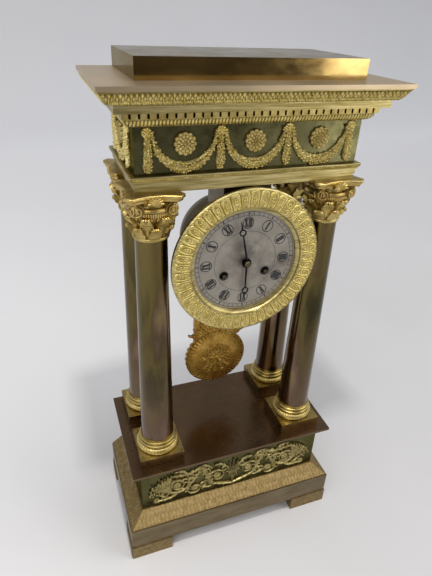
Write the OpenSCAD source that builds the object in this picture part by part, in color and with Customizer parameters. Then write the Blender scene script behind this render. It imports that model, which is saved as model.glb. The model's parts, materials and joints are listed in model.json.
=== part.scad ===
// Portico clock: a drum clock hung under an entablature on four columns, its pendulum swinging below.
// Lengths are in millimetres, +Z is up and the dial faces -Y. The origin is on the floor, under the middle
// of the footprint. Inside the modules y is counted from the middle of the four columns (the column grid).

/* [Base] */
// Width of the lower slab
lower_w = 229; // [222:1:260]
// Front face of the lower slab, ahead of the column grid
lower_front = 68.5; // [67:0.5:80]
// Flat back of the whole base, behind the column grid
base_back = 53.5; // [53:0.5:64]
// Height of the block feet
foot_h = 18; // [10:0.5:30]
// Width of each foot
foot_w = 43.5; // [25:0.5:60]
// Depth of the two front feet
foot_front_d = 33; // [20:0.5:45]
// Depth of the two rear feet
foot_rear_d = 20; // [12:0.5:35]
// How far the feet stand proud of the slab
foot_proud = 0.6; // [0:0.1:1.5]
// Height of the lower slab
lower_h = 26; // [22:0.5:40]
// Height of the sloping leaf moulding
slope_h = 11; // [6:0.5:16]
// How far the leaf moulding runs in from the slab's edge to the die
slope_run = 15.6; // [11:0.1:16]
// Height of the die, its foot included
die_h = 69.5; // [58:0.5:90]
// Thickness of the sheet brass boxes
sheet_t = 3; // [2:0.5:4]
// Thickness of the base plate under the columns
plate_t = 3; // [2:0.5:6]
// Overhang of the base plate past the die
plate_over = 9.3; // [4:0.1:11]
// Thickness of the wooden bottom board
board_t = 6; // [4:0.5:8]
// Relief of the scroll mount on the die
scroll_t = 3; // [1.5:0.5:4]
// Half the width of the scroll mount
scroll_w = 88; // [80:0.5:92]
// Height of the scroll mount's foot above the leaf moulding
scroll_up = 4; // [2:0.5:8]

/* [Columns] */
// Half the spacing of the columns across the front
column_x = 76; // [74:0.5:80]
// Half the spacing of the columns from front to back
column_y = 30.5; // [27:0.5:31]
// Width of the square column plinths
plinth_w = 44; // [42:0.5:44]
// Height of the plinths
plinth_h = 10.5; // [6:0.5:16]
// Diameter of the shaft at its foot
shaft_foot_d = 32; // [28:0.5:32]
// Diameter of the shaft at its neck
shaft_neck_d = 25.5; // [23:0.5:26]
// Height of the shaft
shaft_h = 210.5; // [200:0.5:240]
// Wall of the shaft tube
shaft_wall = 2; // [1:0.5:3]
// Radius of the large torus at the column's foot
torus_r = 3.5; // [2.5:0.1:3.8]
// Radius of the two thin rings above the torus
ring_r = 1.3; // [0.8:0.1:1.8]
// Height of the capital's bell, from the astragal to the echinus
bell_h = 20; // [18:0.5:26]
// Height of the echinus
echinus_h = 13.5; // [12.5:0.5:18]
// Thickness of the abacus
abacus_t = 5; // [3:0.5:7]
// Width of the abacus across its sides
abacus_w = 44; // [42:0.5:46]
// Radius of the capital's corner volutes
volute_r = 5.2; // [4.5:0.1:5.6]
// Diameter of the iron tie rods inside the columns
rod_d = 5; // [4:0.5:6]
// Clearance round each tie rod
rod_room = 0.5; // [0.3:0.1:0.8]

/* [Entablature] */
// How far the frieze's ends stand outside the columns' axes
frieze_end_over = 13; // [12:0.5:16]
// How far the frieze's front stands ahead of the front columns' axes
frieze_front_over = 12.5; // [12:0.5:14]
// How far the entablature's flat back stands behind the rear columns' axes
top_back_over = 13.5; // [12:0.5:20]
// Height of the architrave's lower fascia
fascia_low = 4; // [3:0.5:6]
// Height of the architrave's upper fascia
fascia_high = 4.3; // [3:0.1:6]
// Height of the architrave's crowning moulding
crown_h = 4.7; // [3:0.1:7]
// How far the architrave's top edge stands out from the frieze
architrave_out = 4; // [3:0.5:6]
// Height of the frieze
frieze_h = 33; // [32:0.5:45]
// Height of the egg moulding
egg_h = 6; // [4:0.5:9]
// How far the egg moulding stands out
egg_out = 6; // [4:0.5:7]
// Height of the dentil course
dentil_h = 4.5; // [3:0.5:7]
// How far the dentils stand out
dentil_out = 8; // [7.5:0.5:10]
// Width of one dentil
dentil_w = 4.5; // [3:0.1:5]
// Number of dentils across the front
dentil_n = 32; // [20:1:34]
// Height of the plain corona
corona_h = 6; // [4:0.5:9]
// How far the corona stands out
corona_out = 13.5; // [11:0.5:16]
// Height of the leaf-carved cornice moulding
cyma_h = 8.5; // [6:0.5:12]
// How far the cornice moulding stands out at its top
cyma_out = 23; // [20:0.5:24]
// Thickness of the top plate
top_plate_t = 3; // [2:0.5:5]
// How far the top plate stands out
top_plate_out = 24.3; // [24:0.1:28]
// Width of the attic block
attic_w = 172.5; // [150:0.5:178]
// Front face of the attic block, ahead of the column grid
attic_front = 42.8; // [35:0.1:43]
// Back face of the attic block, behind the column grid
attic_back = 42.5; // [35:0.1:43]
// Height of the attic block
attic_h = 14; // [10:0.5:30]
// Spacing of the frieze's swags
swag_pitch = 53; // [52:0.1:54]
// Relief of the swags and rosettes on the frieze
swag_t = 3; // [1.5:0.5:3.5]
// Diameter of the frieze rosettes
rosette_d = 16; // [12:0.5:17]

/* [Clock] */
// Diameter of the bezel
bezel_d = 129; // [124:0.5:132]
// Gap between the bezel's top and the architrave
bezel_gap = 0.5; // [0.3:0.1:4]
// Front of the bezel, ahead of the column grid
bezel_front = 48.4; // [48:0.1:49]
// Depth of the bezel's rim
bezel_t = 4.3; // [4:0.1:5]
// Diameter of the opening round the dial
opening_d = 91; // [86:0.5:93]
// Diameter of the dial
dial_d = 95; // [94:0.5:98]
// Depth of the dial's face behind the bezel's front
dial_set = 5.3; // [5:0.1:5.8]
// Room between the movement plates and the drum case
drum_room = 1; // [0.5:0.1:2]
// Wall of the drum case
drum_wall = 1.5; // [1:0.1:2]
// Width of the saddle that hangs the drum from the architrave
saddle_w = 40; // [24:1:50]
// Length of the saddle
saddle_len = 36; // [24:1:38]
// Minute hand, from the centre to its tip
minute_len = 39; // [36:0.5:42]
// Hour hand, from the centre to its tip
hour_len = 31.5; // [26:0.5:33]
// Minutes past the hour that the hands show
minutes_shown = 58; // [0:1:59]
// Hour that the hands show
hour_shown = 5; // [0:1:11]
// Spread of the two winding holes
wind_x = 18.7; // [18.6:0.1:19]
// Drop of the winding holes below the centre
wind_drop = 11; // [10.9:0.1:11.5]
// Thickness of the back cover
cover_t = 1.5; // [1:0.1:1.6]

/* [Movement] */
// Diameter of the movement plates
movement_d = 82; // [82:0.5:90]
// Thickness of the movement plates
movement_t = 2.5; // [2:0.1:3]
// Clear space between the movement plates
plates_apart = 34; // [34:0.1:34.5]
// Space between the dial and the front plate
dial_space = 7; // [6.8:0.1:7.3]
// Diameter of a spring barrel
barrel_d = 33; // [28:0.5:34]
// Length of a spring barrel
barrel_len = 18; // [14:0.5:18]
// Diameter of the great wheel on a barrel
great_d = 36.8; // [35:0.1:36.8]
// Radial running clearance of an arbor in its hole
run = 0.05; // [0.02:0.01:0.09]
// Diameter of the bell
gong_d = 60; // [56:0.5:61]
// Depth of the bell
gong_deep = 11.5; // [11:0.5:12]

/* [Pendulum] */
// Height of the pendulum's pivot above the dial's centre
pivot_up = 31; // [30.8:0.1:31.5]
// Length from the pivot to the centre of the bob
pendulum_len = 174.5; // [168:0.5:200]
// Plane of the pendulum, behind the column grid
pendulum_y = 16; // [15.8:0.1:16.5]
// Diameter of the pendulum bob
bob_d = 67; // [58:0.5:72]
// Thickness of the bob at its middle
bob_t = 9; // [7:0.5:10]
// Number of petals round the bob
bob_petals = 32; // [24:1:36]
// Diameter of the pendulum rod
swing_rod_d = 2.8; // [2:0.1:2.8]
// Width of the ornament above the bob
crest_w = 52; // [48:0.5:56]
// Height of the ornament above the bob
crest_h = 36; // [32:0.5:40]

/* [Hidden] */
$fn = 64;

// Middle of the column grid, counted from the middle of the footprint
grid_y = (lower_front + foot_proud - base_back) / 2;

// The turned column base is a torus with a fillet and two rings
base_fillet = 1;
turned_h = 2 * torus_r + 4 * ring_r + 4 * base_fillet;
capital_h = bell_h + echinus_h + abacus_t;
architrave_h = fascia_low + fascia_high + crown_h;

// Heights, from the floor up
lower_z = foot_h;
slab_z = lower_z + lower_h;
plate_z = slab_z + die_h;
plinth_z = plate_z + plate_t;
turned_z = plinth_z + plinth_h;
shaft_z = turned_z + turned_h;
capital_z = shaft_z + shaft_h;
architrave_z = capital_z + capital_h;
frieze_z = architrave_z + architrave_h;
egg_z = frieze_z + frieze_h;
dentil_z = egg_z + egg_h;
corona_z = dentil_z + dentil_h;
cyma_z = corona_z + corona_h;
top_plate_z = cyma_z + cyma_h;
attic_z = top_plate_z + top_plate_t;

// Half widths and faces that follow from the sizes above
lower_half = lower_w / 2;
die_half = lower_half - slope_run;
die_front = lower_front - slope_run;
frieze_half = column_x + frieze_end_over;
frieze_front = column_y + frieze_front_over;
top_back = column_y + top_back_over;
moulding_wall = 6;
rod_hole_d = rod_d + 2 * rod_room;
nut_h = 4;
nut_d = 2 * rod_d;
nut_room = 0.1;

// Places along the clock's depth
fit = 0.1;
dial_z = architrave_z - bezel_gap - bezel_d / 2;
dial_y = dial_set - bezel_front;
dial_t = 1;
drum_y = bezel_t - bezel_front;
front_plate_y = dial_y + dial_t + dial_space;
train_y = front_plate_y + movement_t;
back_plate_y = train_y + plates_apart;
movement_end = back_plate_y + movement_t;
arbor_end = movement_end + 0.5;
pivot_z = dial_z + pivot_up;
bob_z = pivot_z - pendulum_len;

// Hands
hand_t = 0.7;
moon_r = 3;
nut_t = 1.3;
end_wall = 0.3;
end_gap = 0.3;
hour_lift = 2.5;
minute_lift = 4.2;
minute_turn = -6 * minutes_shown;
hour_turn = -30 * hour_shown - minutes_shown / 2;

// Arbors and wheels: places are [across, up] from the dial's centre
centre_r = 1.5;
winding_r = 2;
train_r = 1;
pipe_r = 2.5;
going_at = [wind_x, -wind_drop];
strike_at = [-wind_x, -wind_drop];
third_at = [13, 9];
escape_at = [0, 19];
pallet_at = [0, pivot_up];
hammer_at = [-24, 14];
hour_wheel_r = 11;
plate_gap = 1.2;
leaf_rim = 0.6;
leaf_hub = 1.8;
stud_r = 1.2;
stand_r = 2;
mesh_gap = 0.2;
wheel_t = 1.3;
tooth_depth = 0.8;
barrel_set = 4.5;
barrel_y = train_y + barrel_set;
strike_back = 4;
great_t = 2;
third_pinion_r = 2.7;
escape_pinion_r = 2.8;
escape_wheel_r = 10;
centre_wheel_r = norm(third_at) - third_pinion_r - mesh_gap;
centre_pinion_r = norm(going_at) - great_d / 2 - mesh_gap;
third_wheel_r = norm(third_at - escape_at) - escape_pinion_r - mesh_gap;

// Teeth of the train: 12 to 1 twice, and 30 at the escapement, beat 8640 times an hour
great_teeth = 84;
wheel_teeth = 84;
centre_leaves = 12;
pinion_leaves = 7;
escape_teeth = 30;
escape_set = 18.5;
third_set = 5.5;
escape_y = train_y + escape_set;
third_wheel_y = back_plate_y - third_set;

// Bell and hammer
gong_t = 1.5;
gong_set = 5;
gong_y = pendulum_y + gong_set;
bell_nut_t = 2;
hammer_len = 22;
hammer_head_r = 3.5;
hammer_rest = 1.5;

// Drum: a pan for the dial in front of a barrel for the movement
drum_over = 0.3;
drum_in = movement_d / 2 + drum_room;
drum_r = drum_in + drum_wall;
drum_end = movement_end + drum_over;
sleeve_t = 1.5;
pan_in = dial_d / 2 + 2 * fit + sleeve_t;
pan_r = pan_in + drum_wall;

// Back cover and its hinge
cover_gap = 0.3;
cover_set = 3;
cover_room = 0.9;
cover_r = drum_r - cover_set;
cover_end = gong_y + gong_deep + bell_nut_t + cover_room + cover_t;
slot_half = 10;
hinge_gap = 0.6;
leaf_len = 5;
knuckle_r = 2.2;
pin_r = 0.9;
hinge_x = drum_r + knuckle_r + hinge_gap;
hinge_y = drum_end + cover_gap / 2;
knuckle_half = 6;
knuckle_end = 12;

SIDE = [[-1, -1], [1, -1], [-1, 1], [1, 1]];

GILT = [0.83, 0.66, 0.30];
BRASS = [0.72, 0.57, 0.28];
BRONZE = [0.27, 0.20, 0.12];
GREEN = [0.20, 0.23, 0.15];
SILVER = [0.75, 0.73, 0.67];
STEEL = [0.22, 0.22, 0.26];
WOOD = [0.55, 0.40, 0.25];

// Shared helpers

// Box between two corners
module span(low, high) {
    translate(low) cube(high - low);
}

// The part's own place: the column grid is set back from the middle of the footprint
module place() {
    translate([0, grid_y, 0]) children();
}

// A flat shape seen from the front, standing at depth y; its thickness grows towards the front
module facing(y, x = 0, z = 0) {
    translate([x, y, z]) rotate([90, 0, 0]) children();
}

// The same, counted from the dial's centre; at is [across, up]
module on_clock(y, at = [0, 0]) {
    facing(y, at[0], dial_z + at[1]) children();
}

// A round bar along the clock's depth between two depths
module arbor(r, y_low, y_high, at = [0, 0]) {
    on_clock(y_high, at) cylinder(r = r, h = y_high - y_low);
}

// A child at one column's foot
module at_column(i) {
    translate([SIDE[i][0] * column_x, SIDE[i][1] * column_y, 0]) children();
}

// Vertical holes for the tie rods
module rod_holes(z_low, z_high) {
    for (i = [0 : 3]) at_column(i) translate([0, 0, z_low]) cylinder(d = rod_hole_d, h = z_high - z_low);
}

// Points of an arc
function arc(cx, cy, r, from, to, n) =
    [for (i = [0 : n]) let (a = from + (to - from) * i / n) [cx + r * cos(a), cy + r * sin(a)]];

// Points of a cubic curve between a and d, drawn towards b and c
function curve(a, b, c, d, n) =
    [for (i = [0 : n]) let (t = i / n, u = 1 - t)
        u * u * u * a + 3 * u * u * t * b + 3 * u * t * t * c + t * t * t * d];

// Points of a spiral that closes in by a steady step
function spiral(centre, r_out, r_in, from, turn, n) =
    [for (i = [0 : n]) let (t = i / n, a = from + turn * t, r = r_out + (r_in - r_out) * t)
        centre + r * [cos(a), sin(a)]];

// A flat band along a line of points, from one width to another
module band(points, w_from, w_to) {
    last = len(points) - 1;
    sides = [for (i = [0 : last])
        let (d = points[min(i + 1, last)] - points[max(i - 1, 0)],
             w = w_from + (w_to - w_from) * i / last)
        [-d[1], d[0]] / norm(d) * w / 2];
    polygon(concat([for (i = [0 : last]) points[i] + sides[i]],
                   [for (i = [last : -1 : 0]) points[i] - sides[i]]));
}

// A ring of round petals with a boss
module flower(d, petals) {
    overlap = 1.15;
    petal_r = overlap * 0.5 * d * sin(180 / petals) / (1 + sin(180 / petals));
    circle(r = d / 2 - petal_r);
    for (i = [0 : petals - 1]) rotate(360 * i / petals) translate([d / 2 - petal_r, 0]) circle(r = petal_r);
}

// A wall box, open above and below
module wall_box(half, front, back, z_low, z_high) {
    difference() {
        span([-half, -front, z_low], [half, back, z_high]);
        span([-half + sheet_t, -front + sheet_t, z_low - 1],
             [half - sheet_t, back - sheet_t, z_high + 1]);
    }
}

// A moulding along the front and both sides of a face, mitred at its corners. The profile's points run
// upwards and are [distance out from the face, height]. It stays inner thick behind the face, also across
// the back; with no inner it is only the front and the sides.
module moulding(profile, half, front, back, inner) {
    last = len(profile) - 1;
    low = profile[0][1];
    high = profile[last][1];
    reach = max([for (p = profile) p[0]]);
    width = 2 * (half + reach + 1);
    depth = front + reach + back + 2;
    difference() {
        intersection() {
            translate([-width / 2, 0, 0]) rotate([90, 0, 90]) linear_extrude(width)
                polygon(concat([for (p = profile) [-front - p[0], p[1]]], [[back, high], [back, low]]));
            translate([0, back + 1, 0]) rotate([90, 0, 0]) linear_extrude(depth)
                polygon(concat([for (p = profile) [half + p[0], p[1]]],
                               [for (k = [last : -1 : 0]) [-half - profile[k][0], profile[k][1]]]));
        }
        span([inner - half, inner - front, low - 1],
             [half - inner, inner > 0 ? back - inner : back + 1, high + 1]);
    }
}

// Outline of a toothed wheel
function teeth(n, r) =
    [for (i = [0 : n - 1], k = [0 : 3])
        let (a = 360 * (i + [0, 0.25, 0.5, 0.75][k]) / n)
        (k < 2 ? r : r - tooth_depth) * [cos(a), sin(a)]];

// A wheel with arms and a hub, bored to sit on its arbor
module wheel(n, r, t, arms, rim = 2, hub = 3, bore = 0) {
    linear_extrude(t) difference() {
        union() {
            difference() {
                polygon(teeth(n, r));
                circle(r = r - tooth_depth - rim);
            }
            circle(r = hub);
            for (i = [0 : arms - 1]) rotate(360 * i / arms)
                translate([0, -rim / 2]) square([r - tooth_depth - rim / 2, rim]);
        }
        if (bore > 0) circle(r = bore);
    }
}

// Base

module feet() {
    out = lower_half + foot_proud;
    front = -lower_front - foot_proud;
    color(GILT) for (s = [-1, 1]) {
        x_low = s < 0 ? -out : out - foot_w;
        span([x_low, front, 0], [x_low + foot_w, front + foot_front_d, foot_h]);
        span([x_low, base_back - foot_rear_d, 0], [x_low + foot_w, base_back, foot_h]);
    }
}

module bottom_board() {
    in = sheet_t + fit;
    color(WOOD) span([-lower_half + in, -lower_front + in, lower_z],
                     [lower_half - in, base_back - in, lower_z + board_t]);
}

module lower_slab() {
    color(BRONZE) difference() {
        span([-lower_half, -lower_front, lower_z], [lower_half, base_back, slab_z]);
        span([-lower_half + sheet_t, -lower_front + sheet_t, lower_z - 1],
             [lower_half - sheet_t, base_back - sheet_t, slab_z - sheet_t]);
        rod_holes(lower_z, slab_z + 1);
    }
}

module leaf_moulding() {
    edge = 1;
    color(GILT) moulding([[slope_run - edge, slab_z], [slope_run - edge, slab_z + edge],
                          [edge, slab_z + slope_h]],
                         die_half, die_front, base_back, 0);
}

module base_die() {
    color(GREEN) wall_box(die_half, die_front, base_back, slab_z, plate_z);
}

// Points of a stem that leads from a point into a spiral round an eye
function rolled_stem(from, b, c, eye, r_out, r_in, start, turn) =
    let (lead = curve(from, b, c, eye + r_out * [cos(start), sin(start)], 8))
    concat([for (i = [0 : 7]) lead[i]], spiral(eye, r_out, r_in, start, turn, 28));

// One half of the scroll mount: stems that roll up round rosettes, a winged end and a small end flower.
// Places are [across, up] from the foot of the middle stem, on a grid that scroll_w stretches.
module scroll_half(thick) {
    stem = 2.4;
    leaf = 3.4;
    tip = 1.2;
    eye_d = 8;
    end_d = 7;
    root = [0, 1];
    inner_eye = [18, 19];
    low_eye = [43, 9];
    outer_eye = [62, 20];
    fork = [22, 8];
    peak = [36, 40];
    wing_root = [70, 12];
    wing_leaves = 5;
    end_flower = [84, 4];
    palm_h = 36;
    rolls = [
        rolled_stem(root, [6, 2], [12, 4], inner_eye, 11.7, 4, -70, 420),
        rolled_stem(peak, [40, 26], [46, 22], low_eye, 9, 3.4, 40, -400),
        rolled_stem([50, 15], [56, 9], [62, 7], outer_eye, 10.5, 4, -40, 420)
    ];
    for (points = rolls) linear_extrude(thick) band(points, stem, tip);
    linear_extrude(thick) band(curve(fork, [30, 20], [32, 30], peak, 8), stem, leaf);
    linear_extrude(thick) band(curve(peak, [46, 30], [58, 36], [68, 36], 10), leaf, stem);
    linear_extrude(thick) band(curve([62, 8.5], [70, 1], [76, 5], end_flower, 10), stem, tip);
    for (k = [0 : wing_leaves - 1]) {
        wing_tip = wing_root + [4.6 * k, 26 - 0.8 * k * k];
        linear_extrude(thick)
            band(curve(wing_root, wing_root + [k + 2, 8], wing_root + [2 * k + 4, 12 - k], wing_tip, 8),
                 stem, leaf);
    }
    for (eye = [inner_eye, low_eye, outer_eye]) translate(eye) linear_extrude(thick) flower(eye_d, 8);
    translate(end_flower) linear_extrude(thick) flower(end_d, 6);
    for (k = [-1 : 1]) {
        palm_tip = root + [6 * k, palm_h - 3 * abs(k)];
        linear_extrude(thick)
            band(curve(root, root + [0, 0.42 * palm_h], root + [3 * k, 0.7 * palm_h], palm_tip, 8),
                 stem, leaf);
    }
}

module base_scroll_mount() {
    grid = 88;
    unit = scroll_w / grid;
    color(GILT) facing(-die_front, 0, slab_z + slope_h + scroll_up)
        for (s = [0, 1]) mirror([s, 0, 0]) scale(unit) scroll_half(scroll_t / unit);
}

module base_plate() {
    half = die_half + plate_over;
    color(BRONZE) difference() {
        span([-half, -die_front - plate_over, plate_z], [half, base_back, plinth_z]);
        rod_holes(plate_z - 1, plinth_z + 1);
    }
}

// Columns

// Plinth with a torus and two rings turned on it, each a step nearer to the shaft
module column_base(i) {
    foot_r = shaft_foot_d / 2;
    step = 0.4;
    ring_z = 2 * torus_r + base_fillet;
    upper_z = ring_z + 2 * ring_r + base_fillet;
    low_fillet = foot_r + 7 * step;
    mid_fillet = foot_r + 3 * step;
    top_fillet = foot_r + step;
    color(GILT) at_column(i) difference() {
        union() {
            translate([-plinth_w / 2, -plinth_w / 2, plinth_z]) cube([plinth_w, plinth_w, plinth_h]);
            translate([0, 0, turned_z]) rotate_extrude() polygon(concat(
                [[0, 0]],
                arc(foot_r + 3 * step, torus_r, torus_r, -90, 90, 10),
                [[low_fillet, 2 * torus_r], [low_fillet, ring_z]],
                arc(foot_r + 4 * step, ring_z + ring_r, ring_r, -90, 90, 8),
                [[mid_fillet, upper_z - base_fillet], [mid_fillet, upper_z]],
                arc(foot_r + 2 * step, upper_z + ring_r, ring_r, -90, 90, 8),
                [[top_fillet, upper_z + 2 * ring_r], [top_fillet, turned_h], [0, turned_h]]));
        }
        translate([0, 0, plinth_z - 1]) cylinder(d = rod_hole_d, h = plinth_h + turned_h + 2);
    }
}

module column_shaft(i) {
    foot_r = shaft_foot_d / 2;
    neck_r = shaft_neck_d / 2;
    color(BRASS) at_column(i) translate([0, 0, shaft_z]) rotate_extrude()
        polygon([[foot_r - shaft_wall, 0], [foot_r, 0], [neck_r, shaft_h], [neck_r - shaft_wall, shaft_h]]);
}

// One acanthus leaf against the bell, cut from its side view and its outline; its tip curls over
module acanthus(z_foot, z_top, r_foot, r_tip, width) {
    thick = 1.6;
    curl = 2;
    rise = z_top - z_foot;
    mid = [r_foot + 0.25 * (r_tip - r_foot), z_foot + 0.6 * rise];
    chin = [r_tip - 0.4 * curl, z_top - 2.1 * curl];
    intersection() {
        rotate([90, 0, 0]) translate([0, 0, -width / 2]) linear_extrude(width) polygon(concat(
            [[r_foot - thick, z_foot]],
            curve([r_foot + thick, z_foot], mid + [thick, 0], chin - [0.85, 0.4] * curl, chin, 6),
            arc(r_tip - curl, z_top - curl, curl, -50, 110, 8),
            curve([r_tip - 1.3 * curl, z_top], [r_foot + 0.5 * curl, z_top - 0.5 * curl],
                  mid - [thick, 0], [r_foot - thick, z_foot + 0.1 * rise], 6)));
        rotate([90, 0, 90]) linear_extrude(r_tip + curl) intersection_for (s = [-1, 1])
            translate([s * (rise - width / 2), z_foot + 0.4 * rise]) circle(r = rise);
    }
}

// A volute that looks along +X: a spiral band and an eye on a disc
module volute() {
    thick = 5;
    relief = 0.8;
    eye_r = 1.4;
    cord = 1.1;
    margin = 0.3;
    turns = 1.75;
    rotate([90, 0, 90]) {
        translate([0, 0, -thick]) cylinder(r = volute_r, h = thick - relief);
        translate([0, 0, -2 * relief]) linear_extrude(2 * relief)
            band(spiral([0, 0], volute_r - cord / 2 - margin, eye_r, 90, -360 * turns, 28), cord, cord);
        translate([0, 0, -2 * relief]) cylinder(r = eye_r + margin / 2, h = 2 * relief);
    }
}

// Outline of an abacus: a square with hollow sides and cut corners
module abacus_outline(half) {
    hollow = 4;
    horn = 5;
    side_r = ((half - horn) * (half - horn) + hollow * hollow) / (2 * hollow);
    corner = 1.27 * half;
    intersection() {
        difference() {
            square(2 * half, center = true);
            for (k = [0 : 3]) rotate(90 * k) translate([half - hollow + side_r, 0]) circle(r = side_r);
        }
        rotate(45) square(2 * corner, center = true);
    }
}

// Composite capital: astragal, two rows of acanthus, echinus, a pair of volutes and a fan on every side,
// and a hollow-sided abacus in two steps
module capital(i) {
    neck_r = shaft_neck_d / 2;
    astragal_r = 1.7;
    waist = [neck_r - 0.6, 4];
    lip_r = neck_r + 2.4;
    echinus_r = 4.2;
    echinus_top = bell_h + 2 * echinus_r + 0.8;
    leaves = 8;
    low_foot = 3.6;
    low_out = 5.4;
    low_w = 9.6;
    high_foot = 7;
    high_out = 7.4;
    high_w = 10.4;
    half = abacus_w / 2;
    abacus_z = bell_h + echinus_h;
    abacus_step = 1.3;
    volute_out = 0.76 * half;
    volute_side = 0.6 * half;
    volute_drop = volute_r + 1.4;
    splay = 18;
    fan_d = 12.5;
    fan_t = 3.6;
    fan_out = 0.75 * half;
    fan_drop = 1.5;
    color(GILT) at_column(i) translate([0, 0, capital_z]) difference() {
        union() {
            rotate_extrude() polygon(concat(
                [[0, 0], [neck_r, 0]],
                arc(neck_r, astragal_r, astragal_r, -80, 90, 8),
                [waist],
                curve(waist + [0, 1], waist + [0.2, 0.4 * bell_h],
                      [neck_r + 0.4, 0.75 * bell_h], [lip_r, bell_h], 8),
                arc(neck_r + 1.6, bell_h + echinus_r, echinus_r, -75, 80, 10),
                [[neck_r + 2, echinus_top], [neck_r + 3, abacus_z], [0, abacus_z]]));
            for (k = [0 : leaves - 1]) rotate(360 * k / leaves)
                acanthus(low_foot, 0.62 * bell_h, neck_r, neck_r + low_out, low_w);
            for (k = [0 : leaves - 1]) rotate(360 * (k + 0.5) / leaves)
                acanthus(high_foot, bell_h + 1, neck_r, neck_r + high_out, high_w);
            for (k = [0 : 3]) rotate(90 * k) {
                for (s = [0, 1]) mirror([0, s, 0])
                    translate([volute_out, volute_side, abacus_z - volute_drop]) rotate(splay) volute();
                translate([fan_out, 0, abacus_z - fan_drop]) rotate([90, 0, 90]) linear_extrude(fan_t)
                    difference() {
                        flower(fan_d, 10);
                        translate([-fan_d, -2 * fan_d]) square(2 * fan_d);
                    }
            }
            translate([0, 0, abacus_z]) linear_extrude(abacus_t / 2) abacus_outline(half - abacus_step);
            translate([0, 0, abacus_z + abacus_t / 2]) linear_extrude(abacus_t / 2) abacus_outline(half);
        }
        translate([0, 0, -1]) cylinder(d = rod_hole_d, h = capital_h + 2);
    }
}

rod_foot = slab_z - sheet_t - nut_h - 2;
rod_head = architrave_z + sheet_t + nut_h + 2;

module tie_rods() {
    color(STEEL) for (i = [0 : 3])
        at_column(i) translate([0, 0, rod_foot]) cylinder(d = rod_d, h = rod_head - rod_foot);
}

module tie_rod_nuts() {
    color(STEEL) for (i = [0 : 3], z = [slab_z - sheet_t - nut_h, architrave_z + sheet_t])
        at_column(i) translate([0, 0, z]) difference() {
            cylinder(d = nut_d, h = nut_h, $fn = 6);
            translate([0, 0, -1]) cylinder(d = rod_d + 2 * nut_room, h = nut_h + 2);
        }
}

// Entablature

// Two fasciae under a crowning moulding, with a floor that the tie rods pull down on
module architrave() {
    low_out = 0.3;
    high_out = 1.5;
    fillet_out = 2.5;
    fillet_h = 0.6;
    edge_h = 1;
    low_z = architrave_z + fascia_low;
    high_z = low_z + fascia_high;
    color(GILT) {
        moulding(concat(
            [[low_out, architrave_z], [low_out, low_z], [high_out, low_z], [high_out, high_z],
             [fillet_out, high_z]],
            curve([fillet_out, high_z + fillet_h], [fillet_out, high_z + 0.4 * crown_h],
                  [architrave_out - low_out, high_z + 0.35 * crown_h],
                  [architrave_out, frieze_z - edge_h], 6),
            [[architrave_out, frieze_z]]),
            frieze_half, frieze_front, top_back, moulding_wall);
        difference() {
            span([-frieze_half, -frieze_front, architrave_z],
                 [frieze_half, top_back, architrave_z + sheet_t]);
            rod_holes(architrave_z - 1, architrave_z + sheet_t + 1);
        }
    }
}

module frieze() {
    color(GREEN) wall_box(frieze_half, frieze_front, top_back, frieze_z, egg_z);
}

// Garland sizes: a knob, a hanging drop and a swag that swells towards its middle
knob_r = 3.4;
knob_up = 29;
drop_foot = 2.6;
drop_r = 3;
drop_neck = 1.6;
swag_out_r = 25.2;
swag_in_r = 20;
swag_in_up = 3.5;
rosette_up = 21;

// A row of swags between hanging drops, drawn about the middle of the row
module swag_row(n) {
    left = -n * swag_pitch / 2;
    for (k = [0 : n - 1]) translate([left + (k + 0.5) * swag_pitch, knob_up]) linear_extrude(swag_t)
        difference() {
            circle(r = swag_out_r);
            translate([0, swag_in_up]) circle(r = swag_in_r);
            translate([-swag_pitch, 0.5]) square(2 * swag_pitch);
        }
    for (k = [0 : n]) translate([left + k * swag_pitch, 0]) {
        translate([0, knob_up]) cylinder(r = knob_r, h = swag_t);
        translate([0, drop_foot + drop_r]) cylinder(r = drop_r, h = swag_t);
        linear_extrude(swag_t) polygon([
            [-drop_neck, knob_up], [drop_neck, knob_up],
            [drop_r, drop_foot + drop_r], [-drop_r, drop_foot + drop_r]]);
    }
}

module frieze_swag_front() {
    color(GILT) facing(-frieze_front, 0, frieze_z) swag_row(3);
}

// A child standing on the left or right end of the frieze
module on_frieze_side(s) {
    translate([s * frieze_half, 0, 0]) rotate([0, 0, 90 * s]) children();
}

module frieze_swag_sides() {
    color(GILT) for (s = [-1, 1]) on_frieze_side(s) facing(0, 0, frieze_z) swag_row(1);
}

module rosette() {
    back_t = 0.6 * swag_t;
    heart_d = 0.45 * rosette_d;
    linear_extrude(back_t) flower(rosette_d, 10);
    linear_extrude(swag_t) flower(heart_d, 6);
}

module frieze_rosettes() {
    color(GILT) {
        for (k = [-1 : 1]) facing(-frieze_front, k * swag_pitch, frieze_z + rosette_up) rosette();
        for (s = [-1, 1]) on_frieze_side(s) facing(0, 0, frieze_z + rosette_up) rosette();
    }
}

module egg_moulding() {
    fillet = 0.6;
    round_h = egg_h - 2 * fillet;
    color(GILT) moulding(concat(
        [[fillet, egg_z]],
        [for (t = [0 : 15 : 90])
            [fillet + (egg_out - fillet) * sin(t), egg_z + fillet + round_h * (1 - cos(t))]],
        [[egg_out, dentil_z]]),
        frieze_half, frieze_front, top_back, moulding_wall);
}

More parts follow.
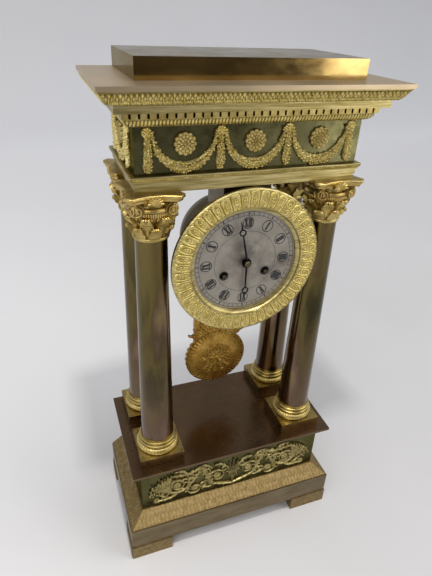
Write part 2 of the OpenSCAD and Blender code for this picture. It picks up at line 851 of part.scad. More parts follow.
module dentil_course() {
    ground = 5;
    root = 1;
    depth = dentil_out - ground + root;
    reach = frieze_half + dentil_out;
    pitch = (2 * reach - dentil_w) / (dentil_n - 1);
    side_n = floor((frieze_front + dentil_out + top_back - dentil_w) / pitch);
    color(GILT) {
        moulding([[ground, dentil_z], [ground, corona_z]],
                 frieze_half, frieze_front, top_back, moulding_wall);
        for (k = [0 : dentil_n - 1])
            translate([-reach + k * pitch, -frieze_front - dentil_out, dentil_z])
                cube([dentil_w, depth, dentil_h]);
        for (s = [-1, 1], k = [1 : side_n])
            translate([s < 0 ? -reach : reach - depth, -frieze_front - dentil_out + k * pitch, dentil_z])
                cube([depth, dentil_w, dentil_h]);
    }
}

module cornice() {
    lip = 1;
    edge = 0.6;
    edge_h = 1;
    foot = [corona_out + lip, cyma_z];
    head = [cyma_out - edge, top_plate_z - edge_h];
    rise = head - foot;
    color(GILT) moulding(concat(
        [[corona_out, corona_z], [corona_out, cyma_z]],
        curve(foot, foot + [0.63 * rise[0], 0], head - [0.3 * rise[0], 0.4 * rise[1]], head, 8),
        [[cyma_out, top_plate_z - edge_h], [cyma_out, top_plate_z]]),
        frieze_half, frieze_front, top_back, moulding_wall);
}

module top_plate() {
    half = frieze_half + top_plate_out;
    color(BRASS) span([-half, -frieze_front - top_plate_out, top_plate_z], [half, top_back, attic_z]);
}

module attic_block() {
    half = attic_w / 2;
    color(BRASS) difference() {
        span([-half, -attic_front, attic_z], [half, attic_back, attic_z + attic_h]);
        span([-half + sheet_t, -attic_front + sheet_t, attic_z - 1],
             [half - sheet_t, attic_back - sheet_t, attic_z + attic_h - sheet_t]);
    }
}

// Clock case

// Fixed knuckles of the back cover's hinge, on the drum's right side
module fixed_knuckles() {
    for (s = [-1, 1]) {
        z_low = dial_z + (s < 0 ? -knuckle_end : knuckle_half);
        knuckle_h = knuckle_end - knuckle_half;
        translate([hinge_x, hinge_y, z_low]) cylinder(r = knuckle_r, h = knuckle_h);
        span([drum_in - drum_wall, drum_end - leaf_len, z_low], [hinge_x, drum_end, z_low + knuckle_h]);
    }
}

// Turned pot: a pan that holds the dial, and a barrel round the movement
module drum_case() {
    floor_front = drum_end - dial_y - dial_t;
    floor_back = floor_front - drum_wall;
    front = drum_end - drum_y;
    color(BRASS) difference() {
        union() {
            on_clock(drum_end) rotate_extrude() polygon([
                [drum_in, 0], [drum_r, 0], [drum_r, floor_back], [pan_r, floor_back], [pan_r, front],
                [pan_in, front], [pan_in, floor_front], [drum_in, floor_front]]);
            fixed_knuckles();
        }
        arbor(drum_in, drum_y - 1, drum_end + 1);
        translate([hinge_x, hinge_y, dial_z - knuckle_end - 1])
            cylinder(r = pin_r + run / 2, h = 2 * knuckle_end + 2);
    }
}

// Saddle between the drum's top and the architrave
module drum_saddle() {
    middle = (dial_y + drum_end) / 2;
    color(BRONZE) difference() {
        span([-saddle_w / 2, middle - saddle_len / 2, dial_z],
             [saddle_w / 2, middle + saddle_len / 2, architrave_z]);
        arbor(drum_r + run, middle - saddle_len, middle + saddle_len);
    }
}

// Ring round the dial: a hollow, a fillet, a broad band for carving and a rounded edge. A short sleeve
// holds the dial down in the drum's pan.
module bezel() {
    ri = opening_d / 2;
    ro = bezel_d / 2;
    seat = bezel_t - dial_set;
    sleeve_r = pan_in - fit;
    sleeve_len = dial_y + dial_t - drum_y - fit;
    step = 0.4;
    hollow_r = 8 * step;
    fillet_end = ri + hollow_r + 1.4;
    groove = bezel_t - 3 * step;
    edge_foot = ro - 2.6;
    color(GILT) on_clock(drum_y) rotate_extrude($fn = 96) polygon(concat(
        [[ri, seat]],
        arc(ri, bezel_t - step, hollow_r, -90, 0, 6),
        [[ri + hollow_r, bezel_t], [fillet_end, bezel_t]],
        curve([fillet_end + step, groove], [fillet_end + 9 * step, bezel_t - step],
              [edge_foot - 9 * step, bezel_t - step], [edge_foot, groove], 8),
        [[edge_foot + step, bezel_t - step], [edge_foot + 4 * step, bezel_t], [ro, bezel_t - 2 * step],
         [ro, step], [ro - step, 0],
         [sleeve_r, 0], [sleeve_r, -sleeve_len], [sleeve_r - sleeve_t, -sleeve_len],
         [sleeve_r - sleeve_t, seat]]));
}

module dial() {
    hole_r = 3.3;
    centre_room = 0.7;
    foot_r = 1.5;
    foot_ring = 36;
    color(SILVER) {
        difference() {
            on_clock(dial_y + dial_t) cylinder(d = dial_d, h = dial_t, $fn = 96);
            arbor(pipe_r + centre_room, dial_y - 1, dial_y + dial_t + 1);
            for (at = [going_at, strike_at]) arbor(hole_r, dial_y - 1, dial_y + dial_t + 1, at);
        }
        for (a = [90, 210, 330])
            arbor(foot_r, dial_y + dial_t, front_plate_y, foot_ring * [cos(a), sin(a)]);
    }
}

// Domed door behind the drum, open below for the pendulum rod and pierced for the bell's sound
module back_cover() {
    y_low = drum_end + cover_gap;
    deep = cover_end - y_low;
    inner = cover_r - cover_t;
    straight = 4;
    flat_r = 0.5 * cover_r;
    holes = 8;
    hole_r = 2;
    hole_ring = 0.32 * cover_r;
    knob_h = 3.4;
    leaf_half = knuckle_half - cover_gap;
    color(BRASS) difference() {
        union() {
            on_clock(cover_end) rotate_extrude() polygon(concat(
                [[0, 0]],
                curve([flat_r, 0], [0.8 * cover_r, 0],
                      [cover_r, 0.45 * deep], [cover_r, deep - straight], 10),
                [[cover_r, deep], [inner, deep]],
                curve([inner, deep - straight], [inner, 0.45 * deep],
                      [0.8 * inner, cover_t], [flat_r, cover_t], 10),
                [[0, cover_t]]));
            span([inner + cover_t / 2, y_low, dial_z - leaf_half],
                 [hinge_x, y_low + leaf_len, dial_z + leaf_half]);
            translate([hinge_x, hinge_y, dial_z - leaf_half]) cylinder(r = knuckle_r, h = 2 * leaf_half);
            on_clock(cover_end + knob_h) rotate_extrude()
                polygon([[0, 0], [2.6, 0], [3, 1], [2.6, 2], [1.4, 2.4], [1.4, knob_h], [0, knob_h]]);
        }
        span([-slot_half, y_low - 1, dial_z - cover_r - 1],
             [slot_half, pendulum_y + slot_half / 2, dial_z - cover_r / 2]);
        for (k = [0 : holes - 1]) let (a = 360 * (k + 0.5) / holes)
            arbor(hole_r, cover_end - cover_t - 1, cover_end + 1, hole_ring * [cos(a), sin(a)]);
        translate([hinge_x, hinge_y, dial_z - knuckle_end]) cylinder(r = pin_r + run, h = 2 * knuckle_end);
    }
}

module cover_hinge_pin() {
    color(STEEL) translate([hinge_x, hinge_y, dial_z - knuckle_end - 1])
        cylinder(r = pin_r, h = 2 * knuckle_end + 2);
}

// Hands

// A hand with a hollow moon near its tip
module moon_hand(length, moon_at, moon_r, hub_r, bore_r) {
    root_w = 1.8;
    neck_w = 1.1;
    spear_w = 1.8;
    point_w = 0.3;
    moon_wall = 1;
    sink = 0.4;
    neck_end = moon_at - moon_r + sink;
    spear_foot = moon_at + moon_r - sink;
    difference() {
        union() {
            circle(r = hub_r);
            polygon([[-root_w / 2, 0], [root_w / 2, 0], [neck_w / 2, neck_end], [-neck_w / 2, neck_end]]);
            translate([0, moon_at]) circle(r = moon_r);
            polygon([[-spear_w / 2, spear_foot], [spear_w / 2, spear_foot],
                     [point_w / 2, length], [-point_w / 2, length]]);
        }
        translate([0, moon_at]) circle(r = moon_r - moon_wall);
        circle(r = bore_r);
    }
}

module hour_hand() {
    moon_in = 5.4;
    hub_r = 4.2;
    color(STEEL) on_clock(dial_y - hour_lift) rotate(hour_turn) linear_extrude(hand_t)
        moon_hand(hour_len, hour_len - moon_in, moon_r, hub_r, pipe_r + run / 2);
}

module hour_wheel() {
    gap = 1.4;
    thick = 1;
    pipe_over = 0.2;
    pipe_end = dial_y - hour_lift - hand_t - pipe_over;
    wheel_back = dial_y + dial_t + gap + thick;
    color(BRASS) {
        on_clock(wheel_back) wheel(48, hour_wheel_r, thick, 4, bore = centre_r + run);
        difference() {
            arbor(pipe_r, pipe_end, wheel_back);
            arbor(centre_r + run, pipe_end - 1, wheel_back + 1);
        }
    }
}

module minute_hand() {
    moon_in = 10;
    hub_r = 3.4;
    color(STEEL) on_clock(dial_y - minute_lift) rotate(minute_turn) linear_extrude(hand_t)
        moon_hand(minute_len, minute_len - moon_in, moon_r, hub_r, centre_r + run / 2);
}

module hand_nut() {
    nut_back = dial_y - minute_lift - hand_t;
    r = 2.5;
    chamfer = 0.6;
    color(BRASS) difference() {
        on_clock(nut_back) rotate_extrude()
            polygon([[0, 0], [r, 0], [r, nut_t - chamfer], [r - chamfer, nut_t], [0, nut_t]]);
        arbor(centre_r + run / 2, nut_back - nut_t + end_wall, nut_back + 1);
    }
}

// Movement

module centre_wheel() {
    pinion_hub = 2;
    pinion_rim = 0.8;
    over = 1;
    color(BRASS) {
        arbor(centre_r, dial_y - minute_lift - hand_t - nut_t + end_wall + end_gap, arbor_end);
        on_clock(train_y + plate_gap + wheel_t) wheel(wheel_teeth, centre_wheel_r, wheel_t, 5);
        on_clock(barrel_y + barrel_len + great_t + over)
            wheel(centre_leaves, centre_pinion_r, great_t + 2 * over, 6, rim = pinion_rim, hub = pinion_hub);
    }
}

// Holes that every plate has for the train's arbors
module arbor_holes(y_low, y_high) {
    arbor(centre_r + run, y_low, y_high);
    for (at = [going_at, strike_at]) arbor(winding_r + run, y_low, y_high, at);
    for (at = [third_at, escape_at, pallet_at]) arbor(train_r + run, y_low, y_high, at);
}

module front_plate() {
    color(BRASS) difference() {
        arbor(movement_d / 2, front_plate_y, train_y);
        arbor_holes(front_plate_y - 1, train_y + 1);
    }
}

module back_plate() {
    stud_len = 4.5;
    color(BRASS) {
        difference() {
            arbor(movement_d / 2, back_plate_y, movement_end);
            arbor_holes(back_plate_y - 1, movement_end + 1);
        }
        arbor(stud_r, movement_end, movement_end + stud_len, hammer_at);
    }
}

module movement_pillars() {
    r = 2.5;
    neck_r = 1.7;
    belly_r = 2.2;
    foot = 3;
    neck = 6;
    ring = movement_d / 2 - r - 1;
    color(BRASS) for (a = [50, 130, 255, 285])
        on_clock(back_plate_y, ring * [cos(a), sin(a)]) rotate_extrude() polygon([
            [0, 0], [r, 0], [r, foot], [neck_r, neck], [belly_r, plates_apart / 2],
            [neck_r, plates_apart - neck], [r, plates_apart - foot], [r, plates_apart], [0, plates_apart]]);
}

// Spring barrel with its lid in front and its great wheel behind
module barrel(at, y_low) {
    r = barrel_d / 2;
    lid_in = 1;
    lid_t = 1.5;
    great_y = y_low + barrel_len;
    difference() {
        union() {
            on_clock(great_y, at) rotate_extrude() polygon([
                [0, 0], [r, 0], [r, barrel_len - lid_t], [r - lid_in, barrel_len - lid_t],
                [r - lid_in, barrel_len], [0, barrel_len]]);
            on_clock(great_y + great_t, at) linear_extrude(great_t)
                polygon(teeth(great_teeth, great_d / 2));
        }
        arbor(winding_r + run, y_low - 1, great_y + great_t + 1, at);
    }
}

module going_barrel() {
    color(BRASS) barrel(going_at, barrel_y);
}

// The strike side's wheel stands further back, clear of the centre pinion
module strike_barrel() {
    color(BRASS) barrel(strike_at, barrel_y + strike_back);
}

// Winding arbor with its ratchet wheel; the key fits its square end in the dial's hole
module winding_arbor(at) {
    square_w = 2.8;
    square_back = dial_y + dial_t + 2;
    square_len = 4.5;
    ratchet_r = 7;
    ratchet_t = 1.5;
    ratchet_gap = 0.5;
    ratchet_rim = 2.6;
    arbor(winding_r, square_back, arbor_end, at);
    on_clock(square_back, at) linear_extrude(square_len) square(square_w, center = true);
    on_clock(front_plate_y - ratchet_gap, at) wheel(24, ratchet_r, ratchet_t, 6, rim = ratchet_rim);
}

module winding_arbor_going() {
    color(STEEL) winding_arbor(going_at);
}

module winding_arbor_strike() {
    color(STEEL) winding_arbor(strike_at);
}

// Arbor that runs in both plates
module train_arbor(at, tail = -1) {
    arbor(train_r, front_plate_y + 1, movement_end + tail, at);
}

module third_wheel() {
    pinion_len = 3;
    color(BRASS) {
        train_arbor(third_at);
        on_clock(train_y + plate_gap + (wheel_t + pinion_len) / 2, third_at)
            wheel(pinion_leaves, third_pinion_r, pinion_len, 4, rim = leaf_rim, hub = leaf_hub);
        on_clock(third_wheel_y + wheel_t, third_at) wheel(wheel_teeth, third_wheel_r, wheel_t, 5);
    }
}

module escape_wheel() {
    thick = 1;
    rim = 1.5;
    over = 1;
    color(BRASS) {
        train_arbor(escape_at);
        on_clock(escape_y + thick, escape_at) wheel(escape_teeth, escape_wheel_r, thick, 5, rim = rim);
        on_clock(third_wheel_y + wheel_t + over, escape_at)
            wheel(pinion_leaves, escape_pinion_r, wheel_t + 2 * over, 4, rim = leaf_rim, hub = leaf_hub);
    }
}

// Anchor over the escape wheel, on an arbor whose crutch guides the pendulum rod behind the back plate
module pallet_crutch() {
    reach = escape_wheel_r + 2.8;
    span_angle = 42;
    pallet = reach * [sin(span_angle), cos(span_angle)] - (pallet_at - escape_at);
    anchor_t = 2;
    anchor_w = 2;
    anchor_tip = 1.2;
    anchor_y = escape_y + 1.5;
    tail = 4;
    crutch_y = movement_end + 2;
    crutch_t = 1.3;
    crutch_w = 2.4;
    crutch_len = 33;
    hub_r = 2.6;
    prong_t = 1;
    prong_h = 2;
    prong_over = 2.5;
    prong = swing_rod_d / 2 + 0.5;
    color(STEEL) {
        train_arbor(pallet_at, tail);
        on_clock(anchor_y, pallet_at) linear_extrude(anchor_t) {
            circle(r = train_r + 0.5);
            for (s = [-1, 1])
                band(curve([0, 0], [s * 4, 1], [s * pallet[0], 0], [s * pallet[0], pallet[1]], 6),
                     anchor_w, anchor_tip);
        }
        on_clock(crutch_y + crutch_t, pallet_at) linear_extrude(crutch_t) {
            circle(r = hub_r);
            translate([-crutch_w / 2, -crutch_len]) square([crutch_w, crutch_len]);
            translate([-prong - prong_t, -crutch_len - prong_h])
                square([2 * (prong + prong_t), prong_h + 0.4]);
        }
        for (s = [-1, 1])
            span([s < 0 ? -prong - prong_t : prong, crutch_y, pivot_z - crutch_len - prong_h],
                 [s < 0 ? -prong : prong + prong_t, pendulum_y + prong_over, pivot_z - crutch_len]);
    }
}

chop_half = 2.5;
chop_d = 4;
cheek_t = 1.7;
cheek_gap = 0.3;
cheek_front = pendulum_y - chop_d / 2 - cheek_gap - cheek_t;
cheek_back = pendulum_y + chop_d / 2 + cheek_gap;

// Cock on the back plate, with two cheeks and the pin that the pendulum hangs from
module suspension_cock() {
    half = 3.5;
    room = 0.7;
    arm_t = 2.2;
    cheek_drop = 3;
    arm_low = pivot_z + chop_half + room;
    color(BRASS) {
        span([-half, movement_end, arm_low], [half, cheek_back + cheek_t, arm_low + arm_t]);
        for (y = [cheek_front, cheek_back])
            span([-half, y, pivot_z - cheek_drop], [half, y + cheek_t, arm_low]);
        facing(cheek_back + cheek_t, 0, pivot_z)
            cylinder(r = pin_r, h = cheek_back + cheek_t - cheek_front);
    }
}

module bell() {
    r = gong_d / 2;
    crown = 0.2 * r;
    inner = r - gong_t;
    color(BRASS) on_clock(gong_y + gong_deep) rotate_extrude() polygon(concat(
        [[stand_r + fit, 0]],
        curve([crown, 0], [0.75 * r, 0.03 * gong_deep], [0.94 * r, 0.35 * gong_deep], [r, gong_deep], 10),
        curve([inner, gong_deep], [0.93 * inner, 0.42 * gong_deep],
              [0.72 * inner, 1.3 * gong_t], [crown, gong_t], 10),
        [[stand_r + fit, gong_t]]));
}

// Post from the back plate, an arm inside the bell and a stud with a nut that holds the bell's crown
module bell_stand() {
    post = [15, -15];
    arm_y = gong_y + 2;
    arm_t = 3;
    boss_r = 2 * stand_r;
    crown_y = gong_y + gong_deep;
    color(STEEL) {
        arbor(stand_r, movement_end, arm_y + arm_t, post);
        on_clock(arm_y + arm_t) linear_extrude(arm_t) band([post, [0, 0]], 2 * stand_r, 2 * stand_r);
        arbor(boss_r, arm_y, crown_y - gong_t);
        arbor(stand_r, arm_y, crown_y + bell_nut_t);
        arbor(boss_r, crown_y, crown_y + bell_nut_t);
    }
}

// Hammer on a stud of the back plate; its head hangs inside the bell, just clear of the rim
module hammer() {
    hub_t = 3;
    hub_r = 2.6;
    arm_t = 2;
    arm_set = 0.5;
    arm_y = arbor_end + hub_t - arm_set;
    arm_w = 2.4;
    stem_r = 1.2;
    head_out = 1;
    head_in = 2.5;
    strike_r = gong_d / 2 - gong_t - hammer_rest - hammer_head_r;
    head_up = hammer_at[1] - hammer_len;
    head_at = [-sqrt(strike_r * strike_r - head_up * head_up), head_up];
    color(STEEL) difference() {
        union() {
            arbor(hub_r, arbor_end, arbor_end + hub_t, hammer_at);
            on_clock(arm_y) linear_extrude(arm_t) band([hammer_at, head_at], arm_w, arm_w);
            arbor(stem_r, arm_y - arm_t, gong_y, head_at);
            arbor(hammer_head_r, gong_y - head_out, gong_y + head_in, head_at);
        }
        arbor(stud_r + run, arbor_end - 1, arbor_end + hub_t + 1, hammer_at);
    }
}

// Pendulum

// Rod hung from the cock's pin by a small block
module pendulum_rod() {
    color(BRASS) difference() {
        union() {
            span([-chop_half, pendulum_y - chop_d / 2, pivot_z - chop_half],
                 [chop_half, pendulum_y + chop_d / 2, pivot_z + chop_half]);
            translate([0, pendulum_y, bob_z]) cylinder(d = swing_rod_d, h = pivot_z - chop_half - bob_z);
        }
        facing(pendulum_y + chop_d, 0, pivot_z) cylinder(r = pin_r + run, h = 2 * chop_d);
    }
}

bob_edge = 4.4;

// Hole for the rod in what hangs on it
module swing_rod_hole(z_low, z_high) {
    translate([0, pendulum_y, z_low]) cylinder(d = swing_rod_d + run, h = z_high - z_low);
}

module pendulum_bob() {
    r = bob_d / 2;
    lens = (bob_t - bob_edge) / 2;
    rim = 0.9 * r;
    flat = 0.4 * r;
    color(GILT) difference() {
        union() {
            facing(pendulum_y + bob_edge / 2, 0, bob_z) linear_extrude(bob_edge) flower(bob_d, bob_petals);
            facing(pendulum_y + bob_edge / 2 + lens, 0, bob_z) rotate_extrude() polygon(concat(
                [[0, 0]],
                curve([flat, 0], [0.7 * r, 0], [0.96 * rim, 0.8 * lens], [rim, lens], 6),
                curve([rim, lens + bob_edge], [0.96 * rim, bob_t - 0.8 * lens],
                      [0.7 * r, bob_t], [flat, bob_t], 6),
                [[0, bob_t]]));
        }
        swing_rod_hole(bob_z, bob_z + r + 1);
    }
}

// Shield-shaped ornament with rolled ends, seated round the top of the bob
module pendulum_crest() {
    r = bob_d / 2;
    half = crest_w / 2;
    roll_r = 3;
    roll_up = 5;
    gap = 0.3;
    top = r + crest_h;
    shoulder = r + 0.55 * crest_h;
    side = half - roll_r;
    foot = sqrt(r * r - side * side) + roll_up;
    right = concat(
        curve([0, top], [0.06 * half, top - 0.25 * crest_h],
              [0.35 * half, shoulder + 0.06 * crest_h], [0.7 * half, shoulder + 0.08 * crest_h], 6),
        curve([0.75 * half, shoulder + 0.08 * crest_h], [half, shoulder],
              [half - 1, shoulder - 0.15 * crest_h], [side + 1, foot + 1], 6),
        [[side - roll_r, foot - 1], [side - roll_r, 0]]);
    left = [for (k = [len(right) - 1 : -1 : 1]) [-right[k][0], right[k][1]]];
    color(GILT) difference() {
        facing(pendulum_y + bob_edge / 2, 0, bob_z) difference() {
            union() {
                linear_extrude(bob_edge) polygon(concat(right, left));
                for (s = [-1, 1]) translate([s * side, foot, 0]) cylinder(r = roll_r, h = bob_edge);
            }
            translate([0, 0, -1]) cylinder(r = r + gap, h = bob_edge + 2);
        }
        swing_rod_hole(bob_z, bob_z + top + 1);
    }
}

place() feet();
place() bottom_board();
place() lower_slab();
place() leaf_moulding();
place() base_die();
place() base_scroll_mount();
place() base_plate();
place() column_base(0);  // column_base_front_left
place() column_base(1);  // column_base_front_right
place() column_base(2);  // column_base_rear_left
place() column_base(3);  // column_base_rear_right
place() column_shaft(0);  // column_shaft_front_left
place() column_shaft(1);  // column_shaft_front_right
place() column_shaft(2);  // column_shaft_rear_left
place() column_shaft(3);  // column_shaft_rear_right
place() capital(0);  // capital_front_left
place() capital(1);  // capital_front_right
place() capital(2);  // capital_rear_left
place() capital(3);  // capital_rear_right
place() tie_rods();
place() tie_rod_nuts();
place() architrave();
place() frieze();
place() frieze_swag_front();
place() frieze_swag_sides();
place() frieze_rosettes();
place() egg_moulding();
place() dentil_course();
place() cornice();
place() top_plate();
place() attic_block();
place() drum_case();
place() drum_saddle();
place() bezel();
place() dial();
place() back_cover();
place() cover_hinge_pin();
place() hour_hand();
place() hour_wheel();
place() minute_hand();
place() hand_nut();
place() centre_wheel();
place() front_plate();
place() back_plate();
place() movement_pillars();
place() going_barrel();
place() strike_barrel();
place() winding_arbor_going();
place() winding_arbor_strike();
place() third_wheel();
place() escape_wheel();
place() pallet_crutch();
place() suspension_cock();
place() bell();
place() bell_stand();
place() hammer();
place() pendulum_rod();
place() pendulum_bob();
place() pendulum_crest();
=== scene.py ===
"""Looks of the portico clock around its CAD frame.

Ornament is worked out in millimetres, with y counted from the middle of the four columns, as in the part's
source. It is turned into metres, in the part's own frame, when a mesh is made.
"""

import json
import math

import bpy
import numpy as np
from mathutils import Matrix, Vector


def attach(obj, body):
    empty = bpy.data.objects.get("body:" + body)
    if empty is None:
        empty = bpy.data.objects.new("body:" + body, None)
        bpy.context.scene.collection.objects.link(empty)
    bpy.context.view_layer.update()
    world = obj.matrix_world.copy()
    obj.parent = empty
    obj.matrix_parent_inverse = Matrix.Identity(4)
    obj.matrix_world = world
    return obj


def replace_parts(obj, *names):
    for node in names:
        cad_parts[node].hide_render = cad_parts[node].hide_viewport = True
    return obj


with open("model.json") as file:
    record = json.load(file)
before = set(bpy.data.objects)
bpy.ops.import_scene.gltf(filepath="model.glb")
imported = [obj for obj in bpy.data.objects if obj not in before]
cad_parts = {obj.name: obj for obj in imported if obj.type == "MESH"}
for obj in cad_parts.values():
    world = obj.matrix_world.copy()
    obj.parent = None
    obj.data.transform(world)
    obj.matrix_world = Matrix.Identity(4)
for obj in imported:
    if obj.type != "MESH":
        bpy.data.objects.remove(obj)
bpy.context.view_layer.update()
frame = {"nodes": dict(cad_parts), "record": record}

MM = 0.001
TURN = 2 * math.pi
SIDES = (-1, 1)
SEED = 5
chance = np.random.default_rng(SEED)

# Sizes shared with the part's source, in millimetres
GRID_Y = 7.8
SLAB_Z = 44.0
LOWER_HALF = 114.5
LOWER_FRONT = 68.5
FOOT_PROUD = 0.6
FOOT_W = 43.5
FOOT_H = 18.0
FOOT_FRONT_D = 33.0
FOOT_REAR_D = 20.0
DIE_HALF = 98.9
DIE_FRONT = 52.9
BASE_BACK = 53.5
COLUMN_X = 76.0
COLUMN_Y = 30.5
TURNED_Z = 127.0
SHAFT_FOOT_R = 16.0
NECK_R = 12.75
CAPITAL_Z = 353.7
BELL_H = 20.0
ECHINUS_H = 13.5
ABACUS_T = 5.0
ABACUS_HALF = 22.0
FRIEZE_HALF = 89.0
FRIEZE_FRONT = 43.0
TOP_BACK = 44.0
FRIEZE_Z = 405.2
SWAG_PITCH = 53.0
KNOB_UP = 29.0
EGG_Z = 438.2
CYMA_Z = 454.7
TOP_PLATE_Z = 463.2
DIAL_Z = 327.2
DIAL_Y = -43.1
BEZEL_Y = -44.1
OPENING_R = 45.5
BEZEL_R = 64.5
PENDULUM_Y = 16.0
BOB_Z = 183.7
BOB_R = 33.5
WIND_AT = ((18.7, -11.0), (-18.7, -11.0))

# Blocks with mouldings: half width, and the reach of their front and back from the middle of the columns
BASE_BLOCK = (DIE_HALF, DIE_FRONT, BASE_BACK)
TOP_BLOCK = (FRIEZE_HALF, FRIEZE_FRONT, TOP_BACK)


# Small number helpers

def smooth(low, high, x):
    """0 up to low and 1 from high on, with an even bend between; it falls where high is the lesser."""
    t = np.clip((x - low) / (high - low), 0, 1)
    return t * t * (3 - 2 * t)


def plateau(start, full, fade, stop, x):
    """1 between full and fade, and 0 before start and after stop."""
    return smooth(start, full, x) * smooth(stop, fade, x)


def dome(x):
    """Height of a half circle over -1 to 1."""
    return np.sqrt(np.clip(1 - x * x, 0, 1))


def oval(x, y, half_x, half_y):
    """Height of a round-backed oval."""
    return dome(np.hypot(x / half_x, y / half_y))


def lobes(angle, count, power=1.0, turn=0.0):
    """Round heads side by side on a circle, 0 between them; a low power makes them fuller."""
    return np.abs(np.cos(count * (angle + turn) / 2)) ** power


def heading(angle):
    """The flat direction at an angle from the first axis."""
    return np.array([math.cos(angle), math.sin(angle)])


def clockwise(angle):
    """The flat direction at an angle clockwise from straight up."""
    return np.array([math.sin(angle), math.cos(angle)])


def around(count):
    """Angles evenly round a circle, as one row."""
    return np.linspace(0, TURN, count, endpoint=False)[None, :]


def bezier(a, b, c, d, n):
    """Points of a cubic curve between a and d, drawn towards b and c."""
    t = np.linspace(0, 1, n)[:, None]
    u = 1 - t
    a, b, c, d = (np.array(p, float) for p in (a, b, c, d))
    return u ** 3 * a + 3 * u * u * t * b + 3 * u * t * t * c + t ** 3 * d


def spiral(centre, r_out, r_in, start, turn, n):
    """Points of a spiral that closes in by a steady step; angles in degrees."""
    t = np.linspace(0, 1, n)
    angle = np.radians(start + turn * t)
    r = r_out + (r_in - r_out) * t
    return np.stack([centre[0] + r * np.cos(angle), centre[1] + r * np.sin(angle)], axis=1)


# Meshes

def add_object(name, data):
    thing = bpy.data.objects.new(name, data)
    bpy.context.scene.collection.objects.link(thing)
    return thing


class Pile:
    """Many small surfaces gathered into one mesh. A point's depth is how far it lies in a hollow, 0 to 1;
    paints darken it by this as painted shade.
    """

    def __init__(self):
        self.points = []
        self.depths = []
        self.faces = []
        self.count = 0

    def sheet(self, points, depth=0.0, closed=False):
        """A grid of points; closed joins its last column to its first."""
        rows, cols = points.shape[:2]
        index = self.count + np.arange(rows * cols).reshape(rows, cols)
        if closed:
            index = np.concatenate([index, index[:, :1]], axis=1)
        quads = np.stack([index[:-1, :-1], index[:-1, 1:], index[1:, 1:], index[1:, :-1]], axis=-1)
        self.faces.append(quads.reshape(-1, 4))
        self.points.append(points.reshape(-1, 3))
        self.depths.append(np.broadcast_to(depth, (rows, cols)).ravel())
        self.count += rows * cols

    def build(self, name, paint, body="case"):
        mesh = bpy.data.meshes.new(name)
        points = (np.concatenate(self.points) + (0, GRID_Y, 0)) * MM
        mesh.from_pydata(points.tolist(), [], np.concatenate(self.faces).tolist())
        depth = mesh.attributes.new("depth", "FLOAT", "POINT")
        depth.data.foreach_set("value", np.concatenate(self.depths).astype(np.float32))
        mesh.shade_smooth()
        mesh.materials.append(PAINTS[paint])
        thing = add_object(name, mesh)
        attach(thing, body)
        return thing


class Plane:
    """A flat ground for ornament, with its own right, up and outward directions."""

    def __init__(self, origin, right, up=(0, 0, 1)):
        self.origin = np.array(origin, float)
        self.right = np.array(right, float)
        self.up = np.array(up, float)
        self.out = np.cross(self.right, self.up)

    def place(self, across, up, out):
        across, up, out = np.broadcast_arrays(across, up, out)
        return (self.origin + across[..., None] * self.right + up[..., None] * self.up
                + out[..., None] * self.out)


def front_plane(y, x=0.0, z=0.0):
    return Plane((x, y, z), (1, 0, 0))


def level_plane(x, y, z):
    """A ground that looks up, for what goes round an upright axis."""
    return Plane((x, y, z), (1, 0, 0), (0, 1, 0))


def end_plane(side, x, y=0.0, z=0.0):
    """The left end for side -1, the right end for side 1."""
    return Plane((side * x, y, z), (0, side, 0))


# Patterns
# Each gives the height of the carving, 0 to 1. s runs -1 to 1 across one motif, v 0 to 1 along the profile,
# and k is the motif's number. Lengths in them are shares of one motif.

def egg_pattern(s, v, k):
    middle = 0.55
    return oval(s, v - middle, 0.74, 0.58)


def echinus_pattern(s, v, k):
    """A row of darts under a plain round band."""
    dart_half = 0.8
    band_at = 0.8
    band_half = 0.2
    darts = dome(s / dart_half) * plateau(0.02, 0.12, 0.46, 0.56, v)
    return np.maximum(darts, dome((v - band_at) / band_half))


def line_at(distance, width):
    """A line with soft edges where the distance is near 0."""
    core = 0.25
    return smooth(width, core * width, np.abs(distance))


def palmette_pattern(s, v, k):
    """Upright tiles with round heads, each cut with a leaf, and darts between; v counts from the heads."""
    side = np.abs(s)
    head_h = 0.28
    head = np.where(v > head_h, side, np.hypot(s, (head_h - v) / head_h))
    tile = smooth(1.02, 0.84, head) * smooth(1.0, 0.95, v)
    leaf_half = 0.6
    leaf_middle = 0.56
    leaf_half_high = 0.4
    leaf = np.hypot(s / leaf_half, (v - leaf_middle) / leaf_half_high)
    outline = line_at(leaf - 0.85, 0.3)
    vein = line_at(s, 0.16) * smooth(0.2, 0.3, v)
    rib_count = 6
    rib_slant = 1.5
    rib_shift = 0.37
    rib_at = np.mod(rib_count * v + rib_slant * side + rib_shift * k, 1) - 0.5
    ribs = line_at(rib_at, 0.3) * smooth(1.25, 1.0, leaf)
    dart = line_at(1 - side, 0.2) * smooth(0.22, 0.1, v)
    cut = np.maximum.reduce([0.55 * outline, 0.5 * vein, 0.6 * ribs])
    return np.maximum(tile * (1 - cut), dart)


def acanthus_pattern(s, v, k):
    """Leaves built of round lobes, with a bead between their heads."""
    # Each lobe's place across and up, its half width and its half height
    parts = [(0.0, 0.84, 0.3, 0.16), (0.5, 0.66, 0.26, 0.17), (0.78, 0.36, 0.24, 0.19),
             (0.36, 0.3, 0.2, 0.2), (1.0, 0.86, 0.2, 0.12), (0.0, 0.48, 0.14, 0.3)]
    side = np.abs(s)
    return np.maximum.reduce([oval(side - a, v - b, wide, high) for a, b, wide, high in parts])


def scale_pattern(s, v, k):
    """Small ribbed leaves in two rows, set like roof tiles."""
    rows = 2
    middle = 0.45
    rib_depth = 0.2
    row = np.minimum(np.floor(rows * v), rows - 1)
    shifted = np.mod(s + 1 + row, 2) - 1
    rise = rows * v - row
    body = oval(shifted, rise - middle, 1.05, 0.75)
    return body * (1 - rib_depth + rib_depth * np.cos(11 * shifted + 2 * k + row))


